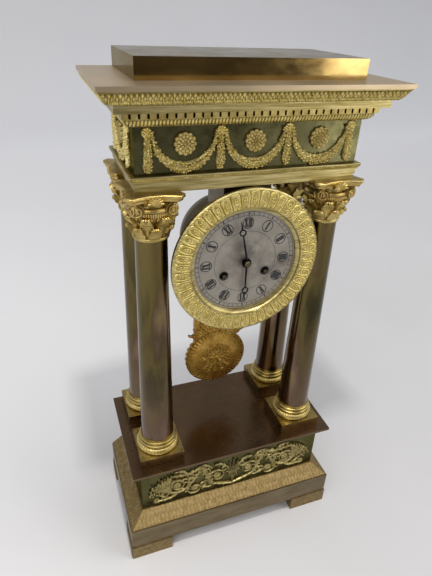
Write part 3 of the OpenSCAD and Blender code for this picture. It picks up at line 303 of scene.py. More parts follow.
def laurel_pattern(s, v, k):
    """Overlapping leaves that point along a torus."""
    across = 2 * v - 1
    ahead = 0.5 + 0.5 * s
    tip = 0.4
    half = 0.98 * np.sin(math.pi * v) ** 0.6
    leaf = smooth(0.0, 0.3, half - 0.3 * np.abs(across) - tip * ahead) * (tip + (1 - tip) * (1 - ahead))
    veins = 0.25 * np.cos(3 * math.pi * across)
    return np.clip(leaf + veins * leaf, 0, 1)


def motif(distance, pitch):
    """Place across the motif, -1 to 1, and the motif's number."""
    turns = distance / pitch + 0.5
    k = np.floor(turns)
    return 2 * (turns - k) - 1, k


# Carved surfaces

def carve(profile, distance, pitch, amount, pattern, share=1.0):
    """How far carving moves a profile's points in the profile's two directions, and the carving's depth,
    which paints darken as painted shade.

    distance runs along the moulding, and share is how much of the carving stands there.
    """
    tangent = np.gradient(profile, axis=0)
    normal = np.stack([tangent[:, 1], -tangent[:, 0]], axis=1)
    normal /= np.linalg.norm(normal, axis=1, keepdims=True)
    v = np.linspace(0, 1, len(profile))[:, None]
    s, k = motif(distance, pitch)
    carved = share * pattern(s, v, k)
    # The low parts of the carving get depth, for painted shade.
    return amount * carved * normal[:, :1], amount * carved * normal[:, 1:], 1 - carved


def carve_moulding(pile, profile, block, pitch, amount, pattern, step):
    """Carving over a mitred moulding's front and two ends. The profile's points are [out, height]."""
    half, front, back = block
    out, z = profile[:, :1], profile[:, 1:]
    mitre_bare = 0.2
    mitre_full = 2.2

    def carved(distance, from_mitre):
        return carve(profile, distance, pitch, amount, pattern, smooth(mitre_bare, mitre_full, from_mitre))

    x = np.linspace(-1, 1, int(2 * half / step)) * (half + out)
    off, lift, depth = carved(x, half + out - np.abs(x))
    pile.sheet(np.stack(np.broadcast_arrays(x, -front - out - off, z + lift), axis=-1), depth)
    t = np.linspace(0, 1, int((front + back) / step))
    for side in SIDES:
        y = -front - out + t * (front + out + back)
        off, lift, depth = carved(y - (back - front) / 2, y + front + out)
        x = side * (half + out + off)
        pile.sheet(np.stack(np.broadcast_arrays(x, y, z + lift), axis=-1), depth)


def carve_round(pile, plane, profile, count, amount, pattern, samples):
    """Carving round the axis of a plane. The profile's points are [radius, out from the plane]."""
    angle = around(count * samples)
    off, lift, depth = carve(profile, angle, TURN / count, amount, pattern)
    r = profile[:, :1] + off
    pile.sheet(plane.place(r * np.cos(angle), r * np.sin(angle), profile[:, 1:] + lift), depth, closed=True)


def medallion(pile, plane, centre, radius, height, rings, spokes):
    """A round relief whose radius may follow the angle.

    height(rho, angle) gives how far it stands out and its depth, with rho 0 in the middle and 1 at the edge.
    """
    rho = np.linspace(0, 1, rings)[:, None]
    angle = around(spokes)
    out, depth = height(rho, angle)
    edge = radius(angle) if callable(radius) else radius
    across = centre[0] + edge * rho * np.cos(angle)
    up = centre[1] + edge * rho * np.sin(angle)
    pile.sheet(plane.place(across, up, out), depth, closed=True)


def ribbon(pile, plane, line, widths, thick, base=0.0, across=7, veins=0, hollow=0.0):
    """A raised band along a line of flat points; veins cuts that many slanting grooves into it.

    hollow is the least depth of its points, 1 for a ground dark with painted shade.
    """
    slant = 0.12
    groove = 0.35
    edge_shade = 0.75
    groove_shade = 0.5
    tangent = np.gradient(line, axis=0)
    side = np.stack([-tangent[:, 1], tangent[:, 0]], axis=1)
    side /= np.maximum(np.linalg.norm(side, axis=1, keepdims=True), 1e-6)
    t = np.linspace(-1, 1, across)[None, :]
    width = np.broadcast_to(widths, len(line))[:, None]
    share = np.linspace(0, 1, len(line))[:, None]
    cut = 0.5 - 0.5 * np.cos(TURN * veins * (share - slant * np.abs(t)))
    rise = dome(t) * (1 - groove * cut)
    spots = line[:, None, :] + side[:, None, :] * (t * width / 2)[..., None]
    # Painted shade: the band darkens at its edges and in its grooves.
    depth = np.maximum(hollow, edge_shade * (1 - dome(t)) + groove_shade * cut)
    pile.sheet(plane.place(spots[..., 0], spots[..., 1], base + thick * rise), depth)


def leaf(pile, plane, line, width, scallops, thick, **more):
    """A ribbon shaped as a leaf with scalloped edges, from its root to its tip."""
    root = 0.12
    scallop = 0.16
    t = np.linspace(0, 1, len(line))
    body = root + (1 - root) * np.sin(math.pi * t ** 0.8) ** 0.7
    edge = 1 - scallop + scallop * np.abs(np.cos(scallops * math.pi * t))
    ribbon(pile, plane, line, width * body * edge, thick, **more)


def tube(pile, points, radius, flat_normal, sides=6):
    """A round cord along points that lie in one plane."""
    tangent = np.gradient(points, axis=0)
    tangent /= np.linalg.norm(tangent, axis=1, keepdims=True)
    normal = np.broadcast_to(np.array(flat_normal, float), points.shape)
    side = np.cross(tangent, normal)
    angle = around(sides)[..., None]
    width = np.broadcast_to(radius, len(points))[:, None, None]
    ring_round = np.cos(angle) * normal[:, None, :] + np.sin(angle) * side[:, None, :]
    pile.sheet(points[:, None, :] + width * ring_round, 0.0, closed=True)


def floret(pile, plane, at, size, rise, base):
    """A small flower turned and tilted by chance."""
    petals = 5
    petal_cut = 0.28
    most_tilt = 0.18
    lean_in = 0.3
    turn = chance.uniform(0, TURN)
    tilt = chance.normal(0, most_tilt, 2)
    # The flower's outline from its middle to its edge: reach, height and depth, the depth being painted
    # shade at its rim
    rho = np.array([0, 0.45, 0.75, 1.0])[:, None]
    profile = np.array([1.0, 0.86, 0.45, -0.4])[:, None]
    depth = np.array([0.0, 0.0, 0.1, 0.8])[:, None]
    angle = around(2 * petals)
    petal = 1 - petal_cut + petal_cut * np.cos(petals * angle)
    reach = size * rho * petal
    across = reach * np.cos(angle + turn)
    up = reach * np.sin(angle + turn)
    out = base + rise * profile * (1 - lean_in + lean_in * petal) + tilt[0] * across + tilt[1] * up
    pile.sheet(plane.place(at[0] + across, at[1] + up, out), depth + 0 * angle, closed=True)


# Paint nodes

EVEN = (1, 1, 1)
FINE_DETAIL = 6.0
GRAIN_HEIGHT = 0.4

# Sockets of a colour mix
MIX_AMOUNT = 0
MIX_FIRST = 6
MIX_SECOND = 7
MIX_RESULT = 2


def shade_tree(name):
    material = bpy.data.materials.new(name)
    material.use_nodes = True
    tree = material.node_tree
    return material, tree, tree.nodes["Principled BSDF"]


def add_node(tree, kind, inputs=(), **settings):
    """A node with its settings; inputs are pairs of a socket and either a value or another node's output."""
    node = tree.nodes.new(kind)
    for key, value in settings.items():
        setattr(node, key, value)
    for socket, value in inputs:
        if isinstance(value, bpy.types.NodeSocket):
            tree.links.new(value, node.inputs[socket])
        else:
            node.inputs[socket].default_value = value
    return node


def object_place(tree):
    return add_node(tree, "ShaderNodeTexCoord").outputs["Object"]


def noise(tree, scale, stretch=EVEN, detail=4.0, rough=0.55):
    """Cloudy noise over the object's own coordinates, in blobs per metre."""
    bent = add_node(tree, "ShaderNodeMapping", [("Vector", object_place(tree)), ("Scale", stretch)])
    return add_node(tree, "ShaderNodeTexNoise",
                    [("Vector", bent.outputs["Vector"]), ("Scale", scale), ("Detail", detail),
                     ("Roughness", rough)]).outputs["Fac"]


def ramp(tree, value, stops):
    """Colours along a value; stops are pairs of a place and a colour."""
    node = add_node(tree, "ShaderNodeValToRGB", [("Fac", value)])
    elements = node.color_ramp.elements
    while len(elements) < len(stops):
        elements.new(0.5)
    for element, (place, colour) in zip(elements, stops):
        element.position = place
        element.color = (*colour, 1)
    return node.outputs["Color"]


def spread(tree, value, low, high, to_low, to_high):
    return add_node(tree, "ShaderNodeMapRange",
                    [("Value", value), ("From Min", low), ("From Max", high),
                     ("To Min", to_low), ("To Max", to_high)]).outputs["Result"]


def calculate(tree, operation, *values):
    return add_node(tree, "ShaderNodeMath", enumerate(values), operation=operation).outputs["Value"]


def blend(tree, amount, first, second):
    """A mix of two colours, each a colour or another node's output."""
    pair = [side if isinstance(side, bpy.types.NodeSocket) else (*side, 1) for side in (first, second)]
    inputs = [(MIX_AMOUNT, amount), (MIX_FIRST, pair[0]), (MIX_SECOND, pair[1])]
    return add_node(tree, "ShaderNodeMix", inputs, data_type="RGBA").outputs[MIX_RESULT]


def place_on(tree, axis):
    """Place along one axis of the part's frame, in metres."""
    return add_node(tree, "ShaderNodeSeparateXYZ", [("Vector", object_place(tree))]).outputs[axis]


def along(tree, axis, low, high, most=1.0):
    """0 to most between two places along one axis, in millimetres of the part's frame."""
    return spread(tree, place_on(tree, axis), low * MM, high * MM, 0.0, most)


def metal(name, stops, rough, cloud, stretch=EVEN, grain=None, hollow=None, metallic=1.0, tint=None,
          over=None):
    """A metal whose colour clouds over and whose polish is worn.

    stops are the colours along its clouds, and cloud is how many lie in a metre. grain is a grain's strength
    and count per metre. hollow is the colour of painted shade in the hollows, and tint the gloss; over(tree,
    colour) paints on top.
    """
    material, tree, shader = shade_tree(name)
    colour = ramp(tree, noise(tree, cloud, stretch, FINE_DETAIL), stops)
    # Painted shade: the hollow colour darkens each point by its depth.
    if hollow:
        low = add_node(tree, "ShaderNodeAttribute", attribute_name="depth").outputs["Fac"]
        colour = blend(tree, spread(tree, low, 0.3, 1.0, 0.0, 0.8), colour, hollow)
    if over:
        colour = over(tree, colour)
    tree.links.new(colour, shader.inputs["Base Color"])
    wear = spread(tree, noise(tree, 3 * cloud, stretch), 0.3, 0.7, *rough)
    tree.links.new(wear, shader.inputs["Roughness"])
    shader.inputs["Metallic"].default_value = metallic
    if tint:
        shader.inputs["Specular Tint"].default_value = (*tint, 1)
    if grain:
        strength, scale = grain
        grains = noise(tree, scale, detail=5.0, rough=0.7)
        bump = add_node(tree, "ShaderNodeBump",
                        [("Height", grains), ("Strength", strength), ("Distance", GRAIN_HEIGHT * MM)])
        tree.links.new(bump.outputs["Normal"], shader.inputs["Normal"])
    return material


# Paints

GOLD = [(0.3, (0.34, 0.25, 0.075)), (0.5, (0.50, 0.385, 0.135)), (0.72, (0.66, 0.535, 0.225))]
DULLED = 0.85
DULL_GOLD = [(place, tuple(DULLED * part for part in colour)) for place, colour in GOLD]
# Colour of painted shade in the hollows of gilt carving
GOLD_HOLLOW_SHADE = (0.06, 0.04, 0.01)


def shaft_tones(tree, colour):
    """Pinker at a shaft's foot, and more golden at its head, where the gold is a painted reflection."""
    most = 0.6
    pink = (0.175, 0.115, 0.088)
    reflected_gold = (0.17, 0.132, 0.045)
    colour = blend(tree, along(tree, "Z", 240.0, 140.0, most), colour, pink)
    # Painted reflection: gold towards the head of the shaft.
    return blend(tree, along(tree, "Z", 270.0, 350.0, most), colour, reflected_gold)


def plinth_brown(tree, colour):
    """A brown plinth under a column's gilt turned foot."""
    brown = ramp(tree, noise(tree, 70), [(0.3, (0.14, 0.087, 0.036)), (0.7, (0.25, 0.167, 0.07))])
    return blend(tree, along(tree, "Z", TURNED_Z - 0.3, TURNED_Z + 0.1), brown, colour)


def dial_smoke(tree, colour):
    """Smoke round the dial's middle and its winding holes, and fine specks."""
    smoke = (0.10, 0.078, 0.07)
    where = object_place(tree)
    cloud = noise(tree, 110, detail=FINE_DETAIL)
    # Each stain's place from the middle of the dial, and its reach
    stains = [((0.0, 8.0), 30.0), (WIND_AT[0], 14.0), (WIND_AT[1], 10.0), ((33.0, -5.0), 18.0)]
    for (across, up), reach in stains:
        spot = (across * MM, (DIAL_Y + GRID_Y) * MM, (DIAL_Z + up) * MM)
        far = add_node(tree, "ShaderNodeVectorMath", [(0, where), (1, spot)], operation="DISTANCE")
        near = spread(tree, far.outputs["Value"], 0.0, reach * MM, 0.85, 0.0)
        patchy = calculate(tree, "MULTIPLY", near, spread(tree, cloud, 0.35, 0.65, 0.1, 1.0))
        colour = blend(tree, patchy, colour, smoke)
    specks = spread(tree, noise(tree, 900, detail=2.0), 0.66, 0.74, 0.0, 0.6)
    return blend(tree, specks, colour, smoke)


def dentil_painted_shade(tree, colour):
    """Painted shade: a black ground behind the dentils, and black up their sides nearly to their faces."""
    shade_colour = (0.012, 0.009, 0.004)
    shade_out = 7.8
    edge = 0.3
    x_edge = FRIEZE_HALF + shade_out
    y_edge = GRID_Y - FRIEZE_FRONT - shade_out
    side = calculate(tree, "ABSOLUTE", place_on(tree, "X"))
    inner_x = spread(tree, side, (x_edge - edge) * MM, x_edge * MM, 1.0, 0.0)
    inner_y = along(tree, "Y", y_edge, y_edge + edge)
    return blend(tree, calculate(tree, "MULTIPLY", inner_x, inner_y), colour, shade_colour)


# What goes into each paint, by the names that slots and pieces use
# hollow in a recipe is the colour of painted shade in carved hollows
RECIPES = {
    "gilt": dict(stops=GOLD, rough=(0.3, 0.5), cloud=90, grain=(0.5, 1400), hollow=GOLD_HOLLOW_SHADE),
    "garland": dict(
        rough=(0.26, 0.42), cloud=260, grain=(0.2, 1800), hollow=(0.07, 0.055, 0.012),
        stops=[(0.3, (0.80, 0.67, 0.26)), (0.5, (0.94, 0.80, 0.35)), (0.72, (1.0, 0.92, 0.52))]),
    "bezel": dict(
        rough=(0.26, 0.42), cloud=200, grain=(0.4, 1800), hollow=(0.085, 0.055, 0.012),
        stops=[(0.3, (0.50, 0.385, 0.11)), (0.5, (0.66, 0.53, 0.18)), (0.72, (0.82, 0.69, 0.29))]),
    "warm": dict(
        rough=(0.26, 0.44), cloud=90, grain=(0.35, 1400), hollow=(0.075, 0.035, 0.008),
        stops=[(0.3, (0.37, 0.24, 0.07)), (0.5, (0.53, 0.385, 0.13)), (0.72, (0.68, 0.525, 0.215))]),
    "scroll": dict(
        rough=(0.3, 0.48), cloud=150, grain=(0.4, 1500), hollow=(0.07, 0.055, 0.02),
        stops=[(0.3, (0.28, 0.23, 0.09)), (0.5, (0.40, 0.33, 0.14)), (0.72, (0.54, 0.46, 0.21))]),
    "satin": dict(
        rough=(0.28, 0.44), cloud=260, stretch=(0.12, 0.12, 3), grain=(0.3, 1500),
        stops=[(0.34, (0.27, 0.21, 0.07)), (0.5, (0.44, 0.365, 0.15)), (0.66, (0.62, 0.53, 0.26))]),
    "amber": dict(
        rough=(0.24, 0.44), cloud=120, grain=(0.4, 1500), hollow=(0.04, 0.016, 0.003),
        stops=[(0.3, (0.29, 0.155, 0.03)), (0.55, (0.44, 0.265, 0.055)), (0.75, (0.60, 0.40, 0.11))]),
    "tan": dict(
        rough=(0.36, 0.55), cloud=240, grain=(0.8, 2000), hollow=(0.15, 0.102, 0.04),
        stops=[(0.3, (0.20, 0.14, 0.057)), (0.5, (0.28, 0.20, 0.084)), (0.75, (0.38, 0.285, 0.135))]),
    "top_plate": dict(
        rough=(0.36, 0.44), cloud=9, grain=(0.03, 900),
        stops=[(0.3, (0.50, 0.40, 0.265)), (0.7, (0.60, 0.485, 0.325))]),
    "drum": dict(
        rough=(0.3, 0.45), cloud=40, grain=(0.05, 600),
        stops=[(0.3, (0.075, 0.06, 0.03)), (0.7, (0.15, 0.115, 0.055))]),
    "green_patina": dict(
        rough=(0.2, 0.36), cloud=45, grain=(0.05, 600), tint=(0.42, 0.39, 0.27),
        stops=[(0.3, (0.085, 0.079, 0.036)), (0.55, (0.12, 0.112, 0.05)), (0.75, (0.165, 0.15, 0.07))]),
    "dark_bronze": dict(
        rough=(0.2, 0.32), cloud=14, grain=(0.04, 500),
        stops=[(0.3, (0.125, 0.082, 0.048)), (0.55, (0.16, 0.104, 0.058)), (0.75, (0.195, 0.126, 0.068))]),
    "slab": dict(
        rough=(0.3, 0.46), cloud=40, stretch=(1, 1, 3), grain=(0.06, 600),
        stops=[(0.3, (0.15, 0.115, 0.06)), (0.55, (0.20, 0.155, 0.085)), (0.75, (0.25, 0.195, 0.115))]),
    "brass": dict(
        rough=(0.2, 0.38), cloud=50, grain=(0.05, 600),
        stops=[(0.3, (0.36, 0.24, 0.09)), (0.55, (0.50, 0.36, 0.15)), (0.75, (0.60, 0.45, 0.22))]),
    "attic": dict(
        rough=(0.08, 0.2), cloud=22, stretch=(1, 1, 2), tint=(0.62, 0.6, 0.52),
        stops=[(0.3, (0.24, 0.16, 0.06)), (0.55, (0.36, 0.25, 0.095)), (0.78, (0.50, 0.38, 0.14))]),
    "steel": dict(rough=(0.25, 0.42), cloud=120, grain=(0.05, 1500),
                  stops=[(0.3, (0.20, 0.20, 0.21)), (0.7, (0.40, 0.40, 0.42))]),
    "blued_steel": dict(rough=(0.25, 0.4), cloud=200, grain=(0.03, 1500),
                        stops=[(0.3, (0.010, 0.010, 0.013)), (0.7, (0.026, 0.026, 0.032))]),
    "wood": dict(rough=(0.6, 0.8), cloud=60, stretch=(0.1, 1, 1), grain=(0.2, 1500), metallic=0.0,
                 stops=[(0.3, (0.13, 0.075, 0.035)), (0.7, (0.26, 0.16, 0.08))]),
    "ink": dict(
        rough=(0.5, 0.7), cloud=500, metallic=0.0,
        stops=[(0.35, (0.012, 0.012, 0.014)), (0.68, (0.03, 0.03, 0.032)), (0.8, (0.16, 0.155, 0.14))]),
    "patinated_brass": dict(
        rough=(0.1, 0.24), cloud=30, stretch=(1, 1, 0.3), grain=(0.04, 500), over=shaft_tones,
        stops=[(0.36, (0.05, 0.044, 0.02)), (0.44, (0.115, 0.09, 0.034)), (0.51, (0.09, 0.062, 0.033)),
               (0.58, (0.155, 0.105, 0.072)), (0.66, (0.27, 0.20, 0.07))]),
    "silvered": dict(
        rough=(0.42, 0.6), cloud=60, grain=(0.2, 2400), metallic=0.75, over=dial_smoke,
        stops=[(0.3, (0.245, 0.224, 0.196)), (0.44, (0.31, 0.284, 0.246)), (0.7, (0.375, 0.35, 0.305))]),
    "column_base": dict(stops=DULL_GOLD, rough=(0.22, 0.42), cloud=90, grain=(0.2, 900), hollow=GOLD_HOLLOW_SHADE,
                        over=plinth_brown),
    "dentils": dict(stops=GOLD, rough=(0.3, 0.5), cloud=90, grain=(0.4, 1400), over=dentil_painted_shade),
}
PAINTS = {name: metal(name + "_paint", **recipe) for name, recipe in RECIPES.items()}

# Paints of the nodes that don't wear their slot's own, by how the nodes' names start
OWN_PAINT = {"slab": ("lower_slab",), "attic": ("attic_block",), "tan": ("leaf_moulding", "feet"),
             "amber": ("pendulum_bob", "pendulum_crest"), "satin": ("bezel", "cornice", "architrave"),
             "drum": ("hand_nut", "winding_arbor", "drum_case", "drum_saddle", "back_cover"),
             "top_plate": ("top_plate",), "dentils": ("dentil_course",), "column_base": ("column_base",)}


def paint_nodes():
    paint_of = {part["node"]: part["material_slot"] for part in frame["record"]["subparts"]}
    for name, thing in frame["nodes"].items():
        for paint, starts in OWN_PAINT.items():
            if name.startswith(starts):
                paint_of[name] = paint
        thing.data.materials.clear()
        thing.data.materials.append(PAINTS[paint_of[name]])


# Base ornament

def slope_and_feet():
    pile = Pile()
    edge = 1.0
    run = 15.6
    rise = 11.0
    t = np.linspace(0, 1, 26)[:, None]
    foot = np.array([run - edge, SLAB_Z + edge])
    head = np.array([edge, SLAB_Z + rise])
    slope = foot + t * (head - foot)
    carve_moulding(pile, slope, BASE_BLOCK, pitch=4.0, amount=0.35, pattern=scale_pattern, step=0.25)
    pile.build("leaf_carving", "tan")
    panels = Pile()
    end = LOWER_HALF + FOOT_PROUD
    front = -LOWER_FRONT - FOOT_PROUD
    for side in SIDES:
        foot_panel(panels, front_plane(front, side * (end - FOOT_W / 2)), FOOT_W)
        foot_panel(panels, end_plane(side, end, front + FOOT_FRONT_D / 2), FOOT_FRONT_D)
        foot_panel(panels, end_plane(side, end, BASE_BACK - FOOT_REAR_D / 2), FOOT_REAR_D)
    panels.build("foot_carving", "tan")


def foot_panel(pile, plane, width):
    """Leafy stippling inside a plain border."""
    border = 1.4
    margin = 0.2
    leaf_w = 3.4
    leaf_h = 4.6
    leaf_reach = 1.1
    ground = 0.35
    proud = 0.05
    relief = 0.35
    across = np.linspace(-width / 2, width / 2, int(3 * width))[None, :]
    up = np.linspace(margin, FOOT_H - margin, 50)[:, None]
    s, k = motif(across + 1.1 * np.sin(0.9 * up), leaf_w)
    v, row = motif(up + 1.3 * np.sin(0.6 * across), leaf_h)
    ribs = 0.7 + 0.3 * np.cos(7 * s + 3 * row + 2 * k)
    leaves = ground + (1 - ground) * oval(s, v, leaf_reach, leaf_reach) * ribs
    edge = np.minimum(width / 2 - np.abs(across), FOOT_H / 2 - np.abs(up - FOOT_H / 2))
    inside = smooth(border - 0.3, border + 0.2, edge)
    carved = inside * leaves + (1 - inside)
    # The sunk ground between the leaves gets depth, for painted shade.
    pile.sheet(plane.place(across, up, proud + relief * carved), 0.7 * (1 - carved))


def flower_height(rise, petals, inner_petals, base=0.0):
    """Height of a rosette: a ring of petals, a second ring and a boss."""
    power = 0.6
    inner_turn = 0.3

    def height(rho, angle):
        outer = lobes(angle, petals, power) * plateau(0.3, 0.6, 0.86, 1.0, rho)
        inner = lobes(angle, inner_petals, power, inner_turn) * smooth(0.55, 0.42, rho)
        boss = smooth(0.2, 0.08, rho)
        ground = 0.3 * smooth(1.0, 0.92, rho)
        carved = np.maximum.reduce(np.broadcast_arrays(0.62 * outer, 0.8 * inner, boss, ground))
        # The ground between petals and boss gets depth, for painted shade.
        return base + rise * carved, 1 - np.maximum(outer, np.maximum(inner, boss))
    return height


def rolled_stem(start, b, c, eye, r_out, r_in, angle, turn):
    """A stem that leads from a point into a spiral round an eye."""
    mouth = eye + r_out * heading(math.radians(angle))
    return np.concatenate([bezier(start, b, c, mouth, 12)[:-1], spiral(eye, r_out, r_in, angle, turn, 60)])


def scroll_half(pile, plane, side):
    """One half of the scroll mount. Points are [across, up] from the middle of its foot, in millimetres."""
    def flip(points):
        return np.array(points, float) * (side, 1)

    def grow(line, first, last, rise, leaves_end, across=7):
        """A stem between two widths, with leaves as far along it as leaves_end."""
        ribbon(pile, plane, flip(line), np.linspace(first, last, len(line)), rise, across=across)
        sprout_leaves(pile, plane, line, flip, rise, leaves_end)

    relief = 2.6
    low_relief = 0.8 * relief
    eyes = [(18, 19), (43, 9), (62, 20)]
    knot = (36, 40)
    rolls = [
        rolled_stem((0, 1), (6, 2), (12, 4), eyes[0], 11.7, 3.6, -70, 420),
        rolled_stem(knot, (40, 26), (46, 22), eyes[1], 8.6, 3.2, 40, -400),
        rolled_stem((50, 15), (56, 9), (62, 7), eyes[2], 10.5, 3.6, -40, 420),
    ]
    for line in rolls:
        grow(line, 2.5, 1.3, relief, leaves_end=40)
    tendrils = [
        rolled_stem((4, 12), (4, 22), (6, 26), (9.5, 27), 4.2, 1.4, 180, -420),
        rolled_stem((27, 14), (26, 22), (27, 26), (31, 30), 4.8, 1.5, 200, -420),
        rolled_stem((34, 36), (40, 37), (44, 36), (47, 30), 4.6, 1.5, 90, -420),
        rolled_stem((52, 12), (49, 18), (50, 22), (54, 24), 4.0, 1.3, 200, -400),
        rolled_stem((70, 3), (76, 8), (78, 10), (78, 15), 4.2, 1.4, -60, 420),
        rolled_stem((24, 5), (29, 4), (32, 6), (33, 11), 4.0, 1.3, -40, 420),
    ]
    for line in tendrils:
        grow(line, 1.9, 1.0, low_relief, leaves_end=14, across=5)
    end_flower = (84, 4)
    stems = [
        (bezier((22, 8), (30, 20), (32, 30), knot, 20), 2.6, 3.4),
        (bezier(knot, (46, 30), (58, 36), (68, 36), 24), 3.4, 2.4),
        (bezier((62, 8.5), (70, 1), (76, 5), end_flower, 20), 2.4, 1.6),
    ]
    for line, first, last in stems:
        grow(line, first, last, relief, leaves_end=62)
    fan = (69, 11)
    plumes = 7
    for k in range(plumes):
        tip = (68 + 3.6 * k, 39 - 0.42 * k * k)
        line = bezier(fan, (71 + k, 20), (73 + 1.6 * k, 25 - 0.6 * k), tip, 26)
        leaf(pile, plane, flip(line), 6.6, 6, relief, veins=7)
    jitter = 1.6
    for reach in (11, 15, 19, 23):
        for turn in np.radians(np.arange(12, 95, 130 / reach)):
            at = fan + reach * heading(turn) + chance.uniform(-jitter, jitter, 2)
            floret(pile, plane, flip(at), size=chance.uniform(1.2, 1.8), rise=1.3, base=1.9)
    for k in (-1.6, -0.8, 0, 0.8, 1.6):
        line = bezier((0, 2), (0.4 * k, 16), (3.4 * k, 26), (6.4 * k, 39 - 3.4 * abs(k)), 24)
        leaf(pile, plane, flip(line), 4.4, 5, relief, veins=5)
    for eye in eyes:
        medallion(pile, plane, flip(eye), 4.6, flower_height(3.0, 7, 5), rings=14, spokes=70)
    medallion(pile, plane, flip(end_flower), 3.7, flower_height(2.6, 6, 5), rings=12, spokes=60)
    crests = [((6, 27), (10, 34), (16, 38), (22, 36)), ((24, 33), (28, 38), (32, 41), (38, 42)),
              ((50, 33), (54, 40), (60, 42), (66, 41))]
    for points in crests:
        leaf(pile, plane, flip(bezier(*points, 22)), 3.6, 4, relief, veins=4)


def sprout_leaves(pile, plane, line, flip, relief, leaves_end):
    """Short leaves that curl away from a stem, on either side by turns, as far along it as leaves_end."""
    spacing = 3.1
    # The four points that draw a leaf: how far ahead along the stem, and how far aside
    curl = [(0, 0), (1.4, 0.6), (2.6, 1.8), (2.2, 3.4)]
    tangent = np.gradient(line, axis=0)
    length = np.cumsum(np.linalg.norm(np.diff(line, axis=0, prepend=line[:1]), axis=1))
    for k in range(1, int(min(length[-1], leaves_end) / spacing)):
        i = int(np.searchsorted(length, k * spacing))
        ahead = tangent[i] / np.linalg.norm(tangent[i])
        aside = np.array([-ahead[1], ahead[0]]) * (1 if k % 2 else -1)
        reach = chance.uniform(0.8, 1.25)
        points = [line[i] + reach * (a * ahead + b * aside) for a, b in curl]
        leaf(pile, plane, flip(bezier(*points, 10)), 2.0, 2, 0.8 * relief, across=5)


def scroll_mount():
    pile = Pile()
    foot_up = 15
    plane = front_plane(-DIE_FRONT, 0, SLAB_Z + foot_up)
    for side in SIDES:
        scroll_half(pile, plane, side)
    mount = pile.build("scroll_carving", "scroll")
    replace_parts(mount, "base_scroll_mount")


# Columns

def arc_profile(r, rise, radius, start, stop, n):
    """An arc round the point [r, rise], between two angles in degrees."""
    angle = np.radians(np.linspace(start, stop, n))
    return np.stack([r + radius * np.cos(angle), rise + radius * np.sin(angle)], axis=1)


def acanthus(pile, plane, angle, z_foot, z_top, r_tip, width):
    """A leaf that stands against the bell and rolls over at its tip."""
    curl = 2.1
    bend = 0.68
    clear = 0.9
    scallop = 0.2
    v = np.linspace(0, 1, 22)
    rising = np.clip(v / bend, 0, 1)
    rolling = np.clip((v - bend) / (1 - bend), 0, 1)
    r_foot = NECK_R + clear
    r_end = r_tip - 2 * curl
    turn = np.radians(180 - 230 * rolling)
    r = np.where(rolling > 0, r_end + curl + curl * np.cos(turn), r_foot + (r_end - r_foot) * rising ** 2)
    z = np.where(rolling > 0, z_top - curl + curl * np.sin(turn), z_foot + (z_top - curl - z_foot) * rising)
    edge = 1 - scallop + scallop * np.abs(np.cos(4.5 * math.pi * v))
    body = (0.66 + 0.34 * np.sin(math.pi * v ** 0.8)) * (1 - 0.6 * smooth(0.74, 1, v))
    half = 0.5 * width * body * edge
    u = np.linspace(-1, 1, 15)[None, :]
    folds = np.cos(3 * math.pi * u * (0.7 + 0.3 * v[:, None]))
    lift = 0.5 * (1 - np.abs(u)) + 0.42 * folds - 0.3 * u * u
    spot_r = r[:, None] + lift
    swing = angle + u * half[:, None] / np.maximum(r[:, None], 1)
    points = plane.place(spot_r * np.cos(swing), spot_r * np.sin(swing), z[:, None])
    # The troughs of the folds get depth, for painted shade.
    pile.sheet(points, 0.5 - 0.5 * folds)


def volute_cords(pile, x, y, angle, side):
    """The spiral cord, the ground darkened as painted shade, and the eye of one volute; angle is the way the
    capital's face looks.
    """
    radius = 5.2
    out = 0.76 * ABACUS_HALF
    aside = 0.6 * ABACUS_HALF
    drop_down = radius + 1.4
    splay = math.radians(18)
    cord = 0.75
    cord_proud = 0.2
    face = np.array([*heading(angle), 0])
    along_face = side * np.array([-face[1], face[0], 0])
    normal = math.cos(splay) * face + math.sin(splay) * along_face
    right = math.cos(splay) * along_face - math.sin(splay) * face
    up = np.array([0, 0, 1])
    centre = np.array([x, y, CAPITAL_Z + BELL_H + ECHINUS_H - drop_down]) + out * face + aside * along_face
    flat = spiral((0, 0), radius - 0.5, 1.2, 90, -630, 80)
    points = centre + flat[:, :1] * right + flat[:, 1:] * up + cord_proud * normal
    tube(pile, points, np.linspace(cord, 0.6 * cord, len(flat)), normal)
    plane = Plane(centre, side * right)
    # Painted shade on the ground behind the cord, and towards the rim of the eye.
    ground = button_height(level=-0.72, rise=0, dark=0.95, edge_shade=0.95)
    eye = button_height(level=0.2, rise=1.1, dark=0, edge_shade=0.6)
    medallion(pile, plane, (0, 0), radius - 0.2, ground, rings=4, spokes=40)
    medallion(pile, plane, (0, 0), 1.5, eye, rings=6, spokes=20)


def button_height(level, rise, dark, edge_shade):
    """Height of a round button, or of a flat disc where rise is 0; its depth from middle to rim is painted
    shade.
    """
    def height(rho, angle):
        return level + rise * dome(rho) + 0 * angle, dark + (edge_shade - dark) * rho + 0 * angle
    return height


